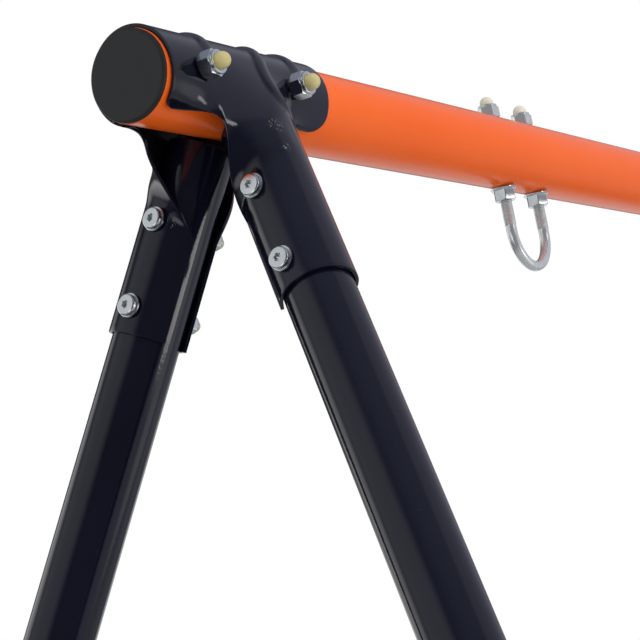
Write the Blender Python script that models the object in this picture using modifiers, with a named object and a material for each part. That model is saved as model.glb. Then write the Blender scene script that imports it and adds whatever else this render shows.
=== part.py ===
# A-frame swing set: a round crossbeam on two splayed pairs of tube legs, held at each end by a
# one-piece pressed saddle bracket, with a U-bolt hanger near each end for the swing's ropes.
# Metres, +Z up, +X along the beam. The origin is on the ground under the middle of the beam.
import math

import bmesh
import bpy
from mathutils import Matrix, Vector

# Crossbeam
BEAM_LENGTH = 2.300
BEAM_HEIGHT = 1.800
BEAM_RADIUS = 0.030
BEAM_WALL = 0.0020
BEAM_SIDES = 24

# Legs: LEAN is the slope of each leg in the A, SPLAY its slope outwards along the beam.
LEG_LEAN = math.radians(21.7)
LEG_SPLAY = math.radians(13.75)
LEG_RADIUS = 0.0225
LEG_WALL = 0.0015
LEG_SIDES = 16
LEG_INSET = 0.101
LEG_OFFSET = 0.0088
LEG_TOP = 0.037
LEG_JOINT = 1.000
SPIGOT_LENGTH = 0.085
SPIGOT_CLEARANCE = 0.0005

# Saddle bracket: one pressed sheet, over the beam and down into two half-open leg sleeves
SHEET = 0.0022
SADDLE_CLEARANCE = 0.0006
SLEEVE_CLEARANCE = 0.0008
SADDLE_FRONT = 0.003
SADDLE_LENGTH = 0.171
FRONT_TAPER = 0.004
FRONT_ROUNDING = 0.006
REAR_TAPER = 0.003
REAR_ROUNDING = 0.015
SLEEVE_END = 0.167
SLEEVE_WRAP_NEAR = math.radians(155.8)
SLEEVE_WRAP_FAR = math.radians(146.0)
LIP_NEAR = 0.0010
BULGE = 0.0020
BULGE_DROPS = (0.042, 0.058, 0.063, 0.081)
LIP_FAR = 0.0017
FRONT_WRAP = math.radians(143.0)
REAR_WRAP = math.radians(139.0)
WEB_FRONT = 0.0435
WEB_REAR = 0.127
WEB_DROP_FRONT = 0.042
WEB_DROP_REAR = 0.034
WEB_NARROWING = 0.79
WEB_WIDENING = 1.36
WEB_TUCK = 0.0055
THROAT_FRONT = 0.098
THROAT_REAR = 0.096
BEADS = (0.0435, 0.103, 0.1416)
BEAD_WIDTHS = (0.019, 0.026, 0.019)
BEAD_HEIGHT = 0.0023
BEAD_REACH = math.radians(74.0)

# End caps
CAP_FLANGE = 0.0032
CAP_ROUNDING = 0.0014
CAP_PLUG = 0.020
CAP_WALL = 0.0020

# Hangers
HANGER_INSET = 0.5065
HANGER_SPAN = 0.060
HANGER_DROP = 0.0963
HANGER_WIRE = 0.0045
HANGER_THREAD = 0.0050
HANGER_THREAD_END = 0.062

# Bolts, nuts and their domed covers: radii and heights of one size each
BEAM_BOLT = 0.0050
BEAM_BOLT_INSETS = (0.033, 0.132)
LEG_BOLT = 0.0040
LEG_BOLT_STATIONS = (0.0928, 0.1498)
BOLT_CLEARANCE = 0.0004
BOLT_SEAT = 0.0012
LEG_BOLT_INWARD = math.radians(4.5)
LEG_BOLT_UPWARD = math.radians(3.5)
HEAD_RATIO = 1.80
HEAD_HEIGHT = 0.0032
WASHER_RATIO = 2.05
WASHER_HEIGHT = 0.0014
NUT_RATIO = 1.90
NUT_HEIGHT_RATIO = 1.85
COLLAR_RATIO = 1.55
COLLAR_HEIGHT_RATIO = 0.45
DOME_RATIO = 1.20
DOME_STAND_RATIO = 0.60
FLANGE_RATIO = 2.15
FLANGE_HEIGHT = 0.0018
SEAT = 0.0003
SMALL_SIDES = 10

# Crossbars and feet
BAR_RADIUS = 0.016
BAR_PRESSED = 0.0040
BAR_FLAT = 0.050
BAR_NECK = 0.055
BAR_SIDES = 10
FOOT_WALL = 0.0035
FOOT_LENGTH = 0.070
FOOT_PAD_RADIUS = 0.040
FOOT_PAD_HEIGHT = 0.008
FOOT_FLOOR = 0.008

SADDLE_RADIUS = BEAM_RADIUS + SADDLE_CLEARANCE + SHEET
SLEEVE_RADIUS = LEG_RADIUS + SLEEVE_CLEARANCE + SHEET

collection = None
cutters = None
materials = {}


def clear_scene():
    """Remove what the new file holds, and add the two collections."""
    global collection, cutters
    for item in list(bpy.data.objects):
        bpy.data.objects.remove(item, do_unlink=True)
    collection = bpy.data.collections.new("a_frame_swing_set")
    cutters = bpy.data.collections.new("cutters")
    bpy.context.scene.collection.children.link(collection)
    bpy.context.scene.collection.children.link(cutters)


def add_material(name, colour, roughness, metallic):
    """A Principled material with the colour in linear values."""
    material = bpy.data.materials.new(name)
    material.use_nodes = True
    shader = material.node_tree.nodes["Principled BSDF"]
    shader.inputs["Base Color"].default_value = (*colour, 1.0)
    shader.inputs["Roughness"].default_value = roughness
    shader.inputs["Metallic"].default_value = metallic
    material.diffuse_color = (*colour, 1.0)
    materials[name] = material


def add_object(name, mesh, slot, matrix=None):
    """A sub-part in the model's collection, shaded smooth except at its sharp edges."""
    mesh.shade_smooth()
    mesh.set_sharp_from_angle(angle=math.radians(35.0))
    if not mesh.materials:
        mesh.materials.append(materials[slot])
    item = bpy.data.objects.new(name, mesh)
    collection.objects.link(item)
    if matrix is not None:
        item.matrix_world = matrix
    return item


def mesh_from(bm, name):
    """Turn a bmesh into a mesh with its faces pointing out."""
    bmesh.ops.recalc_face_normals(bm, faces=bm.faces)
    mesh = bpy.data.meshes.new(name)
    bm.to_mesh(mesh)
    bm.free()
    return mesh


def turned(name, profile, sides):
    """A solid of revolution about Z from a closed profile of (radius, height) points."""
    bm = bmesh.new()
    points = [bm.verts.new((radius, 0.0, height)) for radius, height in profile]
    edges = [bm.edges.new(pair) for pair in zip(points, points[1:] + points[:1])
             if pair[0].co.x > 0.0 or pair[1].co.x > 0.0]
    bmesh.ops.spin(bm, geom=points + edges, cent=(0.0, 0.0, 0.0), axis=(0.0, 0.0, 1.0),
                   angle=math.tau, steps=sides, use_merge=True)
    bmesh.ops.remove_doubles(bm, verts=bm.verts, dist=1e-6)
    return mesh_from(bm, name)


def boolean(target, cutter, operation):
    """Cut or join a hidden cutter object with the EXACT solver."""
    modifier = target.modifiers.new(operation.lower(), "BOOLEAN")
    modifier.operation = operation
    modifier.solver = "EXACT"
    modifier.object = cutter


def add_cutter(name, mesh, matrix=None):
    """A hidden wire object that only serves a Boolean."""
    item = bpy.data.objects.new(name, mesh)
    cutters.objects.link(item)
    item.hide_render = True
    item.display_type = "WIRE"
    if matrix is not None:
        item.matrix_world = matrix
    return item


def rod(name, radius, length, sides):
    """A closed cylinder about Z, centred on the origin."""
    bm = bmesh.new()
    bmesh.ops.create_cone(bm, cap_ends=True, segments=sides, radius1=radius, radius2=radius,
                          depth=length)
    return mesh_from(bm, name)


def axes_matrix(origin, z_axis, x_hint):
    """A placement whose Z runs along z_axis and whose X lies as near as possible to x_hint."""
    z = Vector(z_axis).normalized()
    x = Vector(x_hint)
    x = (x - x.dot(z) * z).normalized()
    y = z.cross(x)
    turn = Matrix((x, y, z)).transposed()
    return Matrix.Translation(Vector(origin)) @ turn.to_4x4()


def baked(item):
    """The evaluated mesh of an object, in its own space, with its modifiers applied."""
    bpy.context.view_layer.update()
    graph = bpy.context.evaluated_depsgraph_get()
    return bpy.data.meshes.new_from_object(item.evaluated_get(graph), depsgraph=graph)


def smooth(value):
    """Ease from 0 to 1."""
    value = min(max(value, 0.0), 1.0)
    return value * value * (3.0 - 2.0 * value)


def mix(a, b, share):
    return a + (b - a) * share


# Each end of the frame is built in its own space: X runs inwards from the beam's end, Z is up
# from the beam's axis. side is +1 or -1 for the leg on the +Y or the -Y side.
def leg_direction(side):
    """The leg's axis, pointing down and outwards."""
    return Vector((-math.sin(LEG_SPLAY),
                   side * math.sin(LEG_LEAN) * math.cos(LEG_SPLAY),
                   -math.cos(LEG_LEAN) * math.cos(LEG_SPLAY)))


def leg_point(side, drop):
    """A point on the leg's axis, by its drop down the slope of the A from the beam's axis."""
    down = Vector((0.0, side * math.sin(LEG_LEAN), -math.cos(LEG_LEAN)))
    out = Vector((0.0, side * math.cos(LEG_LEAN), math.sin(LEG_LEAN)))
    return Vector((axis_x(drop), 0.0, 0.0)) + drop * down + LEG_OFFSET * out


def axis_x(drop):
    """How far in from the beam's end the leg's axis is, at a drop."""
    return LEG_INSET - math.tan(LEG_SPLAY) * drop


def bolt_direction(side):
    """Square to the leg and pointing outwards along the beam."""
    along = leg_direction(side)
    outwards = Vector((-1.0, 0.0, 0.0))
    return (outwards - outwards.dot(along) * along).normalized()


def end_matrix(end):
    """Where an end's space lies in the model: end is -1 or +1 along X."""
    turn = Matrix.Rotation(0.0 if end < 0 else math.pi, 4, "Z")
    return Matrix.Translation((end * BEAM_LENGTH / 2.0, 0.0, BEAM_HEIGHT)) @ turn


# Saddle bracket. Its sheet is a loft over a grid: columns run along the beam from the front edge
# to the rear edge, rows run from the bottom of one sleeve over the beam to the other.
FRONT_COLUMNS = 5
HALF_COLUMNS = 6
REAR_COLUMNS = 6
SADDLE_ROWS = 4
WING_ROWS = 6
SLEEVE_ROWS = 7


def column_positions():
    """Where each column crosses the top of the saddle."""
    front = [mix(WEB_FRONT, SADDLE_FRONT, (1.0 - k / FRONT_COLUMNS) ** 1.5)
             for k in range(FRONT_COLUMNS)]
    near = [mix(WEB_FRONT, LEG_INSET, k / HALF_COLUMNS) for k in range(HALF_COLUMNS)]
    far = [mix(LEG_INSET, WEB_REAR, k / HALF_COLUMNS) for k in range(HALF_COLUMNS)]
    rear_edge = SADDLE_FRONT + SADDLE_LENGTH
    rear = [mix(WEB_REAR, rear_edge, k / REAR_COLUMNS) for k in range(REAR_COLUMNS + 1)]
    return front + near + far + rear


def bead_lift(x, angle):
    """How far a bead raises the sheet: a soft ridge that fades out down the saddle's sides."""
    lift = 0.0
    for centre, width in zip(BEADS, BEAD_WIDTHS):
        offset = abs(x - centre) / (width / 2.0)
        if offset < 1.0:
            lift += BEAD_HEIGHT * math.cos(offset * math.pi / 2.0) ** 2
    return lift * smooth((BEAD_REACH - angle) / (BEAD_REACH * 0.35))


def saddle_point(x, angle):
    """A point on the saddle: (x, drop down the slope, stand-off from the beam's axis)."""
    radius = SADDLE_RADIUS + bead_lift(x, angle)
    turn = angle + LEG_LEAN
    return Vector((x, -radius * math.cos(turn), radius * math.sin(turn)))


def web_height(drop):
    """Stand-off of the webs from the leg's axis: round the beam, then straight down beside it."""
    if drop < SADDLE_RADIUS * math.sin(LEG_LEAN):
        return math.sqrt(SADDLE_RADIUS ** 2 - drop ** 2) - LEG_OFFSET
    return (SADDLE_RADIUS - drop * math.sin(LEG_LEAN)) / math.cos(LEG_LEAN) - LEG_OFFSET


def tucked(near, drop):
    """Stand-off of a web's free edge; the rear one tucks in under the beam."""
    start = SADDLE_RADIUS * math.sin(LEG_LEAN)
    share = 0.0 if near else smooth((drop - start) / (WEB_DROP_REAR - start))
    return web_height(drop) - WEB_TUCK * share


def web_edge(near, drop):
    """The sheet's free edge beside a leg, as (distance from the leg's axis, stand-off)."""
    top_width = abs(LEG_INSET - (WEB_FRONT if near else WEB_REAR)) * math.cos(LEG_SPLAY)
    start = WEB_DROP_FRONT if near else WEB_DROP_REAR
    share = min(drop / start, 1.0)
    width = top_width * mix(1.0, WEB_NARROWING if near else WEB_WIDENING, share)
    if drop <= start:
        return Vector((width, tucked(near, drop)))
    open_edge = Vector((width, tucked(near, start)))
    turn = math.atan2(open_edge.x, open_edge.y)
    share = min((drop - start) / ((THROAT_FRONT if near else THROAT_REAR) - start), 1.0)
    if near:
        turn = mix(turn, SLEEVE_WRAP_NEAR, share ** 1.52)
        radius = mix(SLEEVE_RADIUS + LIP_NEAR, open_edge.length, (1.0 - share) ** 1.46)
    else:
        turn = mix(turn, SLEEVE_WRAP_FAR, smooth(share ** 0.85))
        radius = mix(open_edge.length, SLEEVE_RADIUS + LIP_FAR, share ** 1.4)
    return Vector((radius * math.sin(turn), radius * math.cos(turn)))


def sleeve_point(near, drop, share):
    """A point on one half of the arm: share 0 is the arm's back, 1 its free edge."""
    edge = web_edge(near, drop)
    distance = max(edge.length, SLEEVE_RADIUS * 1.0001)
    touch = math.atan2(edge.y, edge.x) + math.acos(SLEEVE_RADIUS / distance)
    arc = max(math.pi / 2.0 - touch, 0.0)
    straight = math.sqrt(distance ** 2 - SLEEVE_RADIUS ** 2)
    run = share * (SLEEVE_RADIUS * arc + straight)
    if run <= SLEEVE_RADIUS * arc:
        turn = math.pi / 2.0 - run / SLEEVE_RADIUS
        point = Vector((math.cos(turn), math.sin(turn))) * SLEEVE_RADIUS
    else:
        corner = Vector((math.cos(touch), math.sin(touch))) * SLEEVE_RADIUS
        if arc == 0.0:
            corner = Vector((0.0, SLEEVE_RADIUS))
        length = (edge - corner).length
        point = corner + (edge - corner) * (run - SLEEVE_RADIUS * arc) / length
    if near:
        rise, full, fall, end = BULGE_DROPS
        swell = smooth((drop - rise) / (full - rise)) * smooth((end - drop) / (end - fall))
        point += point.normalized() * BULGE * swell * math.sin(math.pi * share)
    rise = LEG_OFFSET - (SADDLE_RADIUS - SLEEVE_RADIUS)
    ease = rise * (1.0 - smooth(drop / WEB_DROP_FRONT)) * (1.0 - share)
    squaring = smooth((drop - WEB_DROP_FRONT) / (SLEEVE_END - WEB_DROP_FRONT))
    sign = -1.0 if near else 1.0
    drop += sign * math.sin(LEG_SPLAY) * point.x * squaring
    x = axis_x(drop) + sign * point.x / math.cos(LEG_SPLAY)
    return Vector((x, drop, point.y + LEG_OFFSET - ease))


def wing_point(x, level, near):
    """A point on a wing that hugs the beam, pulled out towards the arm's free edge."""
    start = math.pi / 2.0 - LEG_LEAN
    web = WEB_FRONT if near else WEB_REAR
    outer = SADDLE_FRONT if near else SADDLE_FRONT + SADDLE_LENGTH
    share = (x - outer) / (web - outer)
    wrap = FRONT_WRAP
    if not near:
        wrap = REAR_WRAP - math.radians(12.0) * (1.0 - smooth((1.0 - share) * 1.6))
    turn = mix(start, wrap, level)
    drop = (WEB_DROP_FRONT if near else WEB_DROP_REAR) * level
    pull = sleeve_point(near, drop, 1.0) - saddle_point(web, turn)
    across = pull.y * math.sin(LEG_LEAN) + pull.z * math.cos(LEG_LEAN)
    down = pull.y * math.cos(LEG_LEAN) - pull.z * math.sin(LEG_LEAN)
    across *= share ** (2.0 if near else 3.0)
    down *= share ** (6.0 if near else 3.0)
    pull = Vector((pull.x * share ** 2.0,
                   across * math.sin(LEG_LEAN) + down * math.cos(LEG_LEAN),
                   across * math.cos(LEG_LEAN) - down * math.sin(LEG_LEAN)))
    return saddle_point(x, turn) + pull


def rounding(level, radius):
    """How far a wing's lower corner is rounded back at a level."""
    depth = SADDLE_RADIUS * (FRONT_WRAP - math.pi / 2.0 + LEG_LEAN)
    share = max(1.0 - (1.0 - level) * depth / radius, 0.0)
    return radius * (1.0 - math.sqrt(1.0 - share ** 2))


def sheet_point(row, column, xs):
    """A point of the bracket's outer face, from its place in the grid."""
    side = -1.0 if row < 0 else 1.0
    step = abs(row)
    web_near = FRONT_COLUMNS
    web_far = FRONT_COLUMNS + 2 * HALF_COLUMNS
    x = xs[column]
    if step <= SADDLE_ROWS:
        angle = (math.pi / 2.0 - LEG_LEAN) * step / SADDLE_ROWS
        point = saddle_point(x, angle)
        level = 0.0
    else:
        below = step - SADDLE_ROWS
        level = 1.0 - max(1.0 - below / WING_ROWS, 0.0) ** 1.3
        if column < web_near:
            point = wing_point(x, level, True)
        elif column > web_far:
            point = wing_point(x, level, False)
        else:
            near = column <= web_near + HALF_COLUMNS
            middle = web_near + HALF_COLUMNS
            share = abs(column - middle) / HALF_COLUMNS
            if below <= WING_ROWS:
                drop = level * mix(WEB_DROP_FRONT, WEB_DROP_REAR, 0.0 if near else share)
            else:
                top = mix(WEB_DROP_FRONT, WEB_DROP_REAR, 0.0 if near else share)
                drop = mix(top, SLEEVE_END, ((below - WING_ROWS) / SLEEVE_ROWS) ** 1.15)
            point = sleeve_point(near, drop, share)
    if column < web_near:
        reach = (WEB_FRONT - x) / (WEB_FRONT - SADDLE_FRONT)
        point.x += reach * (FRONT_TAPER * level + rounding(level, FRONT_ROUNDING))
    elif column > web_far:
        reach = (x - WEB_REAR) / (SADDLE_FRONT + SADDLE_LENGTH - WEB_REAR)
        point.x -= reach * (REAR_TAPER * level + rounding(level, REAR_ROUNDING))
    down = Vector((0.0, side * math.sin(LEG_LEAN), -math.cos(LEG_LEAN)))
    out = Vector((0.0, side * math.cos(LEG_LEAN), math.sin(LEG_LEAN)))
    return Vector((point.x, 0.0, 0.0)) + point.y * down + point.z * out


def bracket_mesh():
    """The pressed sheet with its thickness, in an end's space."""
    xs = column_positions()
    rows = SADDLE_ROWS + WING_ROWS + SLEEVE_ROWS
    bm = bmesh.new()
    bmesh.ops.create_grid(bm, x_segments=len(xs) - 1, y_segments=2 * rows, size=1.0)
    web_near = FRONT_COLUMNS
    web_far = FRONT_COLUMNS + 2 * HALF_COLUMNS
    waste = []
    places = {}
    for vert in bm.verts:
        column = round((vert.co.x + 1.0) / 2.0 * (len(xs) - 1))
        row = round(vert.co.y * rows)
        places[vert] = (row, column)
        wing_end = SADDLE_ROWS + WING_ROWS
        if abs(row) > wing_end and not web_near <= column <= web_far:
            waste.append(vert)
    for vert, (row, column) in places.items():
        vert.co = sheet_point(row, column, xs)
    bmesh.ops.delete(bm, geom=waste, context="VERTS")
    bmesh.ops.triangulate(bm, faces=bm.faces, quad_method="SHORT_EDGE")
    bm.normal_update()
    top = max(bm.faces, key=lambda face: face.calc_center_median().z)
    if top.normal.z < 0.0:
        bmesh.ops.reverse_faces(bm, faces=bm.faces)
    mesh = bpy.data.meshes.new("saddle_bracket")
    bm.to_mesh(mesh)
    bm.free()
    return mesh


def hole_cutter(name, matrices, radius, length):
    """One cutter object of several crossing-free rods."""
    bm = bmesh.new()
    for matrix in matrices:
        bmesh.ops.create_cone(bm, cap_ends=True, segments=SMALL_SIDES, radius1=radius,
                              radius2=radius, depth=length, matrix=matrix)
    return add_cutter(name, mesh_from(bm, name))


def beam_bolt_matrix(inset):
    """A beam bolt's placement in an end's space: Z points to its nut, on the -Y side."""
    return axes_matrix((inset, 0.0, 0.0), (0.0, -1.0, 0.0), (1.0, 0.0, 0.0))


def leg_bolt_matrix(side, drop):
    """A leg bolt's placement in an end's space: Z points to its nut, inwards along the beam."""
    along = leg_direction(side)
    inward = bolt_direction(side).cross(along) * side
    lean = inward * math.tan(LEG_BOLT_INWARD) - along * math.tan(LEG_BOLT_UPWARD)
    origin = leg_point(side, drop) + lean * (SLEEVE_RADIUS + BOLT_SEAT)
    return axes_matrix(origin, lean - bolt_direction(side), along)


def saddle_bracket():
    """Bake the bracket once, holes included, so both ends share its mesh."""
    sheet = bpy.data.objects.new("bracket_sheet", bracket_mesh())
    cutters.objects.link(sheet)
    sheet.hide_render = True
    sheet.display_type = "WIRE"
    thickness = sheet.modifiers.new("sheet", "SOLIDIFY")
    thickness.thickness = SHEET
    thickness.offset = -1.0
    thickness.use_even_offset = True
    crossings = [beam_bolt_matrix(inset) for inset in BEAM_BOLT_INSETS]
    boolean(sheet, hole_cutter("bracket_beam_holes", crossings, BEAM_BOLT + BOLT_CLEARANCE,
                               4.0 * SADDLE_RADIUS), "DIFFERENCE")
    crossings = [leg_bolt_matrix(side, drop) for side in (-1, 1) for drop in LEG_BOLT_STATIONS]
    boolean(sheet, hole_cutter("bracket_leg_holes", crossings, LEG_BOLT + BOLT_CLEARANCE,
                               2.6 * SLEEVE_RADIUS), "DIFFERENCE")
    return baked(sheet)


def crossbeam():
    """The beam: a tube with holes for the beam bolts and the hangers."""
    inner = BEAM_RADIUS - BEAM_WALL
    half = BEAM_LENGTH / 2.0
    mesh = turned("crossbeam", [(BEAM_RADIUS, -half), (BEAM_RADIUS, half), (inner, half),
                                (inner, -half)], BEAM_SIDES)
    matrix = Matrix.Translation((0.0, 0.0, BEAM_HEIGHT)) @ Matrix.Rotation(math.pi / 2.0, 4, "Y")
    beam = add_object("crossbeam", mesh, "beam_paint", matrix)
    bolt_places = []
    hanger_places = []
    for end in (-1, 1):
        for inset in BEAM_BOLT_INSETS:
            bolt_places.append(end_matrix(end) @ beam_bolt_matrix(inset))
        for leg in (-1, 1):
            place = (HANGER_INSET + leg * HANGER_SPAN / 2.0, 0.0, 0.0)
            hanger_places.append(end_matrix(end) @ Matrix.Translation(place))
    length = 4.0 * BEAM_RADIUS
    bolts = hole_cutter("beam_bolt_holes", bolt_places, BEAM_BOLT + BOLT_CLEARANCE, length)
    hangers = hole_cutter("hanger_holes", hanger_places, HANGER_THREAD + BOLT_CLEARANCE, length)
    boolean(beam, bolts, "DIFFERENCE")
    boolean(beam, hangers, "DIFFERENCE")


def end_cap_mesh():
    """A push-in cap: a flange with a rounded rim and a hollow plug, open to the beam's inside."""
    plug = BEAM_RADIUS - BEAM_WALL - SEAT
    bore = plug - CAP_WALL
    rim = BEAM_RADIUS - SEAT
    profile = [(0.0, -CAP_FLANGE - SEAT)]
    for step in range(4):
        turn = math.pi / 2.0 * step / 3.0
        profile.append((rim - CAP_ROUNDING + CAP_ROUNDING * math.sin(turn),
                        -CAP_FLANGE - SEAT + CAP_ROUNDING * (1.0 - math.cos(turn))))
    profile += [(rim, -SEAT), (plug, -SEAT), (plug, CAP_PLUG), (bore, CAP_PLUG),
                (bore, CAP_WALL), (0.0, CAP_WALL)]
    return turned("end_cap", profile, BEAM_SIDES)


def hex_prism(radius, height, base):
    """A hexagonal prism about Z that stands on a height."""
    bm = bmesh.new()
    place = Matrix.Translation((0.0, 0.0, base + height / 2.0))
    bmesh.ops.create_cone(bm, cap_ends=True, segments=6, radius1=radius, radius2=radius,
                          depth=height, matrix=place)
    return mesh_from(bm, "hexagon")


def lock_nut_mesh(name, bolt, flanged):
    """A lock nut about Z, standing on zero: hexagon, round collar and domed cover, bored from
    below. The flanged kind has a washer face under it, a through bore and no cover."""
    corner = bolt * NUT_RATIO
    height = bolt * NUT_HEIGHT_RATIO
    base = FLANGE_HEIGHT if flanged else 0.0
    top = base + height
    hexagon = add_cutter(name + "_hexagon", hex_prism(corner, height, base))
    overlap = height * 0.3
    if flanged:
        outer = bolt * FLANGE_RATIO
        profile = [(0.0, 0.0), (outer, 0.0), (outer, FLANGE_HEIGHT * 0.6),
                   (corner * 0.97, FLANGE_HEIGHT * 1.5), (0.0, FLANGE_HEIGHT * 1.5)]
    else:
        collar = bolt * COLLAR_RATIO
        ledge = top + bolt * COLLAR_HEIGHT_RATIO
        dome = bolt * DOME_RATIO
        stand = ledge + bolt * DOME_STAND_RATIO
        profile = [(0.0, top - overlap), (collar, top - overlap), (collar, ledge)]
        steps = 3
        for step in range(steps + 1):
            turn = math.pi / 2.0 * step / steps
            profile.append((dome * math.cos(turn), stand + dome * math.sin(turn)))
        profile.insert(3, (dome, ledge))
    body = turned(name + "_round", profile, SMALL_SIDES)
    boolean(hexagon, add_cutter(name + "_round", body), "UNION")
    depth = 4.0 * height if flanged else 2.0 * (top + bolt * COLLAR_HEIGHT_RATIO * 0.8)
    bore = rod(name + "_bore", bolt + BOLT_CLEARANCE, depth, SMALL_SIDES)
    boolean(hexagon, add_cutter(name + "_bore", bore), "DIFFERENCE")
    return baked(hexagon)


def bolt_mesh(name, bolt, grip):
    """A flat button-head bolt about Z: its head and washer under zero, its shank up to the nut."""
    head = bolt * HEAD_RATIO
    washer = bolt * WASHER_RATIO
    edge = HEAD_HEIGHT * 0.3
    tip = grip + bolt * (NUT_HEIGHT_RATIO + COLLAR_HEIGHT_RATIO * 0.5)
    profile = [(0.0, -WASHER_HEIGHT - HEAD_HEIGHT), (head * 0.86, -WASHER_HEIGHT - HEAD_HEIGHT),
               (head, -WASHER_HEIGHT - HEAD_HEIGHT + edge), (head, -WASHER_HEIGHT),
               (washer, -WASHER_HEIGHT), (washer, 0.0), (bolt, 0.0), (bolt, tip), (0.0, tip)]
    return turned(name, profile, SMALL_SIDES)


def add_end(end, label, meshes):
    """Everything that is fixed to one end of the beam."""
    place = end_matrix(end)
    add_object("end_cap_" + label, meshes["cap"], "cap_plastic",
               place @ Matrix.Rotation(math.pi / 2.0, 4, "Y"))
    add_object("saddle_bracket_" + label, meshes["bracket"], "frame_paint", place)
    seat = SADDLE_RADIUS + BOLT_SEAT
    for inset, which in zip(BEAM_BOLT_INSETS, ("outer", "inner")):
        bolt_place = place @ beam_bolt_matrix(inset)
        add_object(f"beam_bolt_{label}_{which}", meshes["beam_bolt"], "zinc",
                   bolt_place @ Matrix.Translation((0.0, 0.0, -seat)))
        add_object(f"beam_nut_{label}_{which}", meshes["beam_nut"], "zinc",
                   bolt_place @ Matrix.Translation((0.0, 0.0, seat)))
    seat = SLEEVE_RADIUS + BOLT_SEAT
    for side, name in ((end, "front"), (-end, "back")):
        for drop, which in zip(LEG_BOLT_STATIONS, ("upper", "lower")):
            bolt_place = place @ leg_bolt_matrix(side, drop)
            add_object(f"leg_bolt_{label}_{name}_{which}", meshes["leg_bolt"], "zinc",
                       bolt_place @ Matrix.Translation((0.0, 0.0, -seat)))
            add_object(f"leg_nut_{label}_{name}_{which}", meshes["leg_nut"], "zinc",
                       bolt_place @ Matrix.Translation((0.0, 0.0, seat)))
        add_leg(place, side, label + "_" + name, meshes)
    add_crossbar(place, label)
    add_hanger(place, label, meshes)


def ground_drop():
    """The drop at which the leg's axis reaches the ground."""
    return (BEAM_HEIGHT + LEG_OFFSET * math.sin(LEG_LEAN)) / math.cos(LEG_LEAN)


def tube_end_drop():
    """The drop at which the lower tube stops, inside its foot."""
    slope = math.sqrt(1.0 - leg_direction(1).z ** 2)
    lift = (LEG_RADIUS * slope + FOOT_FLOOR) / math.cos(LEG_LEAN)
    return ground_drop() - lift


def leg_placement(side, drop):
    """Z runs down the leg's axis from a drop, X points outwards along the beam."""
    return axes_matrix(leg_point(side, drop), leg_direction(side), bolt_direction(side))


def drop_to_length(drop):
    """Length along the leg's axis that a drop stands for."""
    return drop / math.cos(LEG_SPLAY)


def leg_meshes():
    """The upper tube, and the lower tube with its necked spigot, both about Z."""
    inner = LEG_RADIUS - LEG_WALL
    upper_length = drop_to_length(LEG_JOINT - LEG_TOP)
    upper = turned("upper_leg", [(LEG_RADIUS, 0.0), (LEG_RADIUS, upper_length),
                                 (inner, upper_length), (inner, 0.0)], LEG_SIDES)
    spigot = inner - SPIGOT_CLEARANCE
    neck = LEG_RADIUS - spigot
    lower_length = drop_to_length(tube_end_drop() - LEG_JOINT)
    lower = turned("lower_leg", [(spigot, -SPIGOT_LENGTH), (spigot, SEAT),
                                 (LEG_RADIUS, SEAT + neck), (LEG_RADIUS, lower_length),
                                 (inner, lower_length), (inner, SEAT + 2.0 * neck),
                                 (spigot - LEG_WALL, SEAT + neck),
                                 (spigot - LEG_WALL, -SPIGOT_LENGTH)], LEG_SIDES)
    return upper, lower


def joint_drop():
    """The drop of the bolt through the leg's joint."""
    return LEG_JOINT - SPIGOT_LENGTH / 2.0


def add_leg(place, side, label, meshes):
    """One leg in two tubes, with the holes for its bolts, and its foot."""
    upper = add_object("upper_leg_" + label, meshes["upper_leg"].copy(), "frame_paint",
                       place @ leg_placement(side, LEG_TOP))
    lower = add_object("lower_leg_" + label, meshes["lower_leg"].copy(), "frame_paint",
                       place @ leg_placement(side, LEG_JOINT))
    crossings = [place @ leg_bolt_matrix(side, drop) for drop in LEG_BOLT_STATIONS]
    crossings.append(place @ joint_bolt_matrix(side))
    holes = hole_cutter("leg_holes_" + label, crossings, LEG_BOLT + BOLT_CLEARANCE,
                        2.6 * LEG_RADIUS)
    boolean(upper, holes, "DIFFERENCE")
    joint_hole = hole_cutter("joint_hole_" + label, crossings[-1:], LEG_BOLT + BOLT_CLEARANCE,
                             2.6 * LEG_RADIUS)
    boolean(lower, joint_hole, "DIFFERENCE")
    add_object("joint_bolt_" + label, meshes["joint_bolt"], "zinc",
               place @ joint_bolt_matrix(side) @ Matrix.Translation(
                   (0.0, 0.0, -LEG_RADIUS - SEAT)))
    add_foot(place, side, label)


def joint_bolt_matrix(side):
    """The joint bolt crosses leg and bar: Z points inwards along the beam, square to the bar."""
    inwards = (math.cos(LEG_SPLAY), 0.0, -math.sin(LEG_SPLAY))
    return axes_matrix(leg_point(side, joint_drop()), inwards, (0.0, 1.0, 0.0))


def joint_bolt_mesh():
    """A bolt with its nut run on: head and washer, leg, pressed bar end, hexagon."""
    grip = 2.0 * (LEG_RADIUS + SEAT) + BAR_PRESSED + 2.0 * SEAT
    shank = add_cutter("joint_bolt_shank", bolt_mesh("joint_bolt_shank", LEG_BOLT, grip))
    corner = LEG_BOLT * NUT_RATIO
    nut = add_cutter("joint_bolt_nut", hex_prism(corner, LEG_BOLT * NUT_HEIGHT_RATIO, grip))
    boolean(shank, nut, "UNION")
    return baked(shank)


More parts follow.
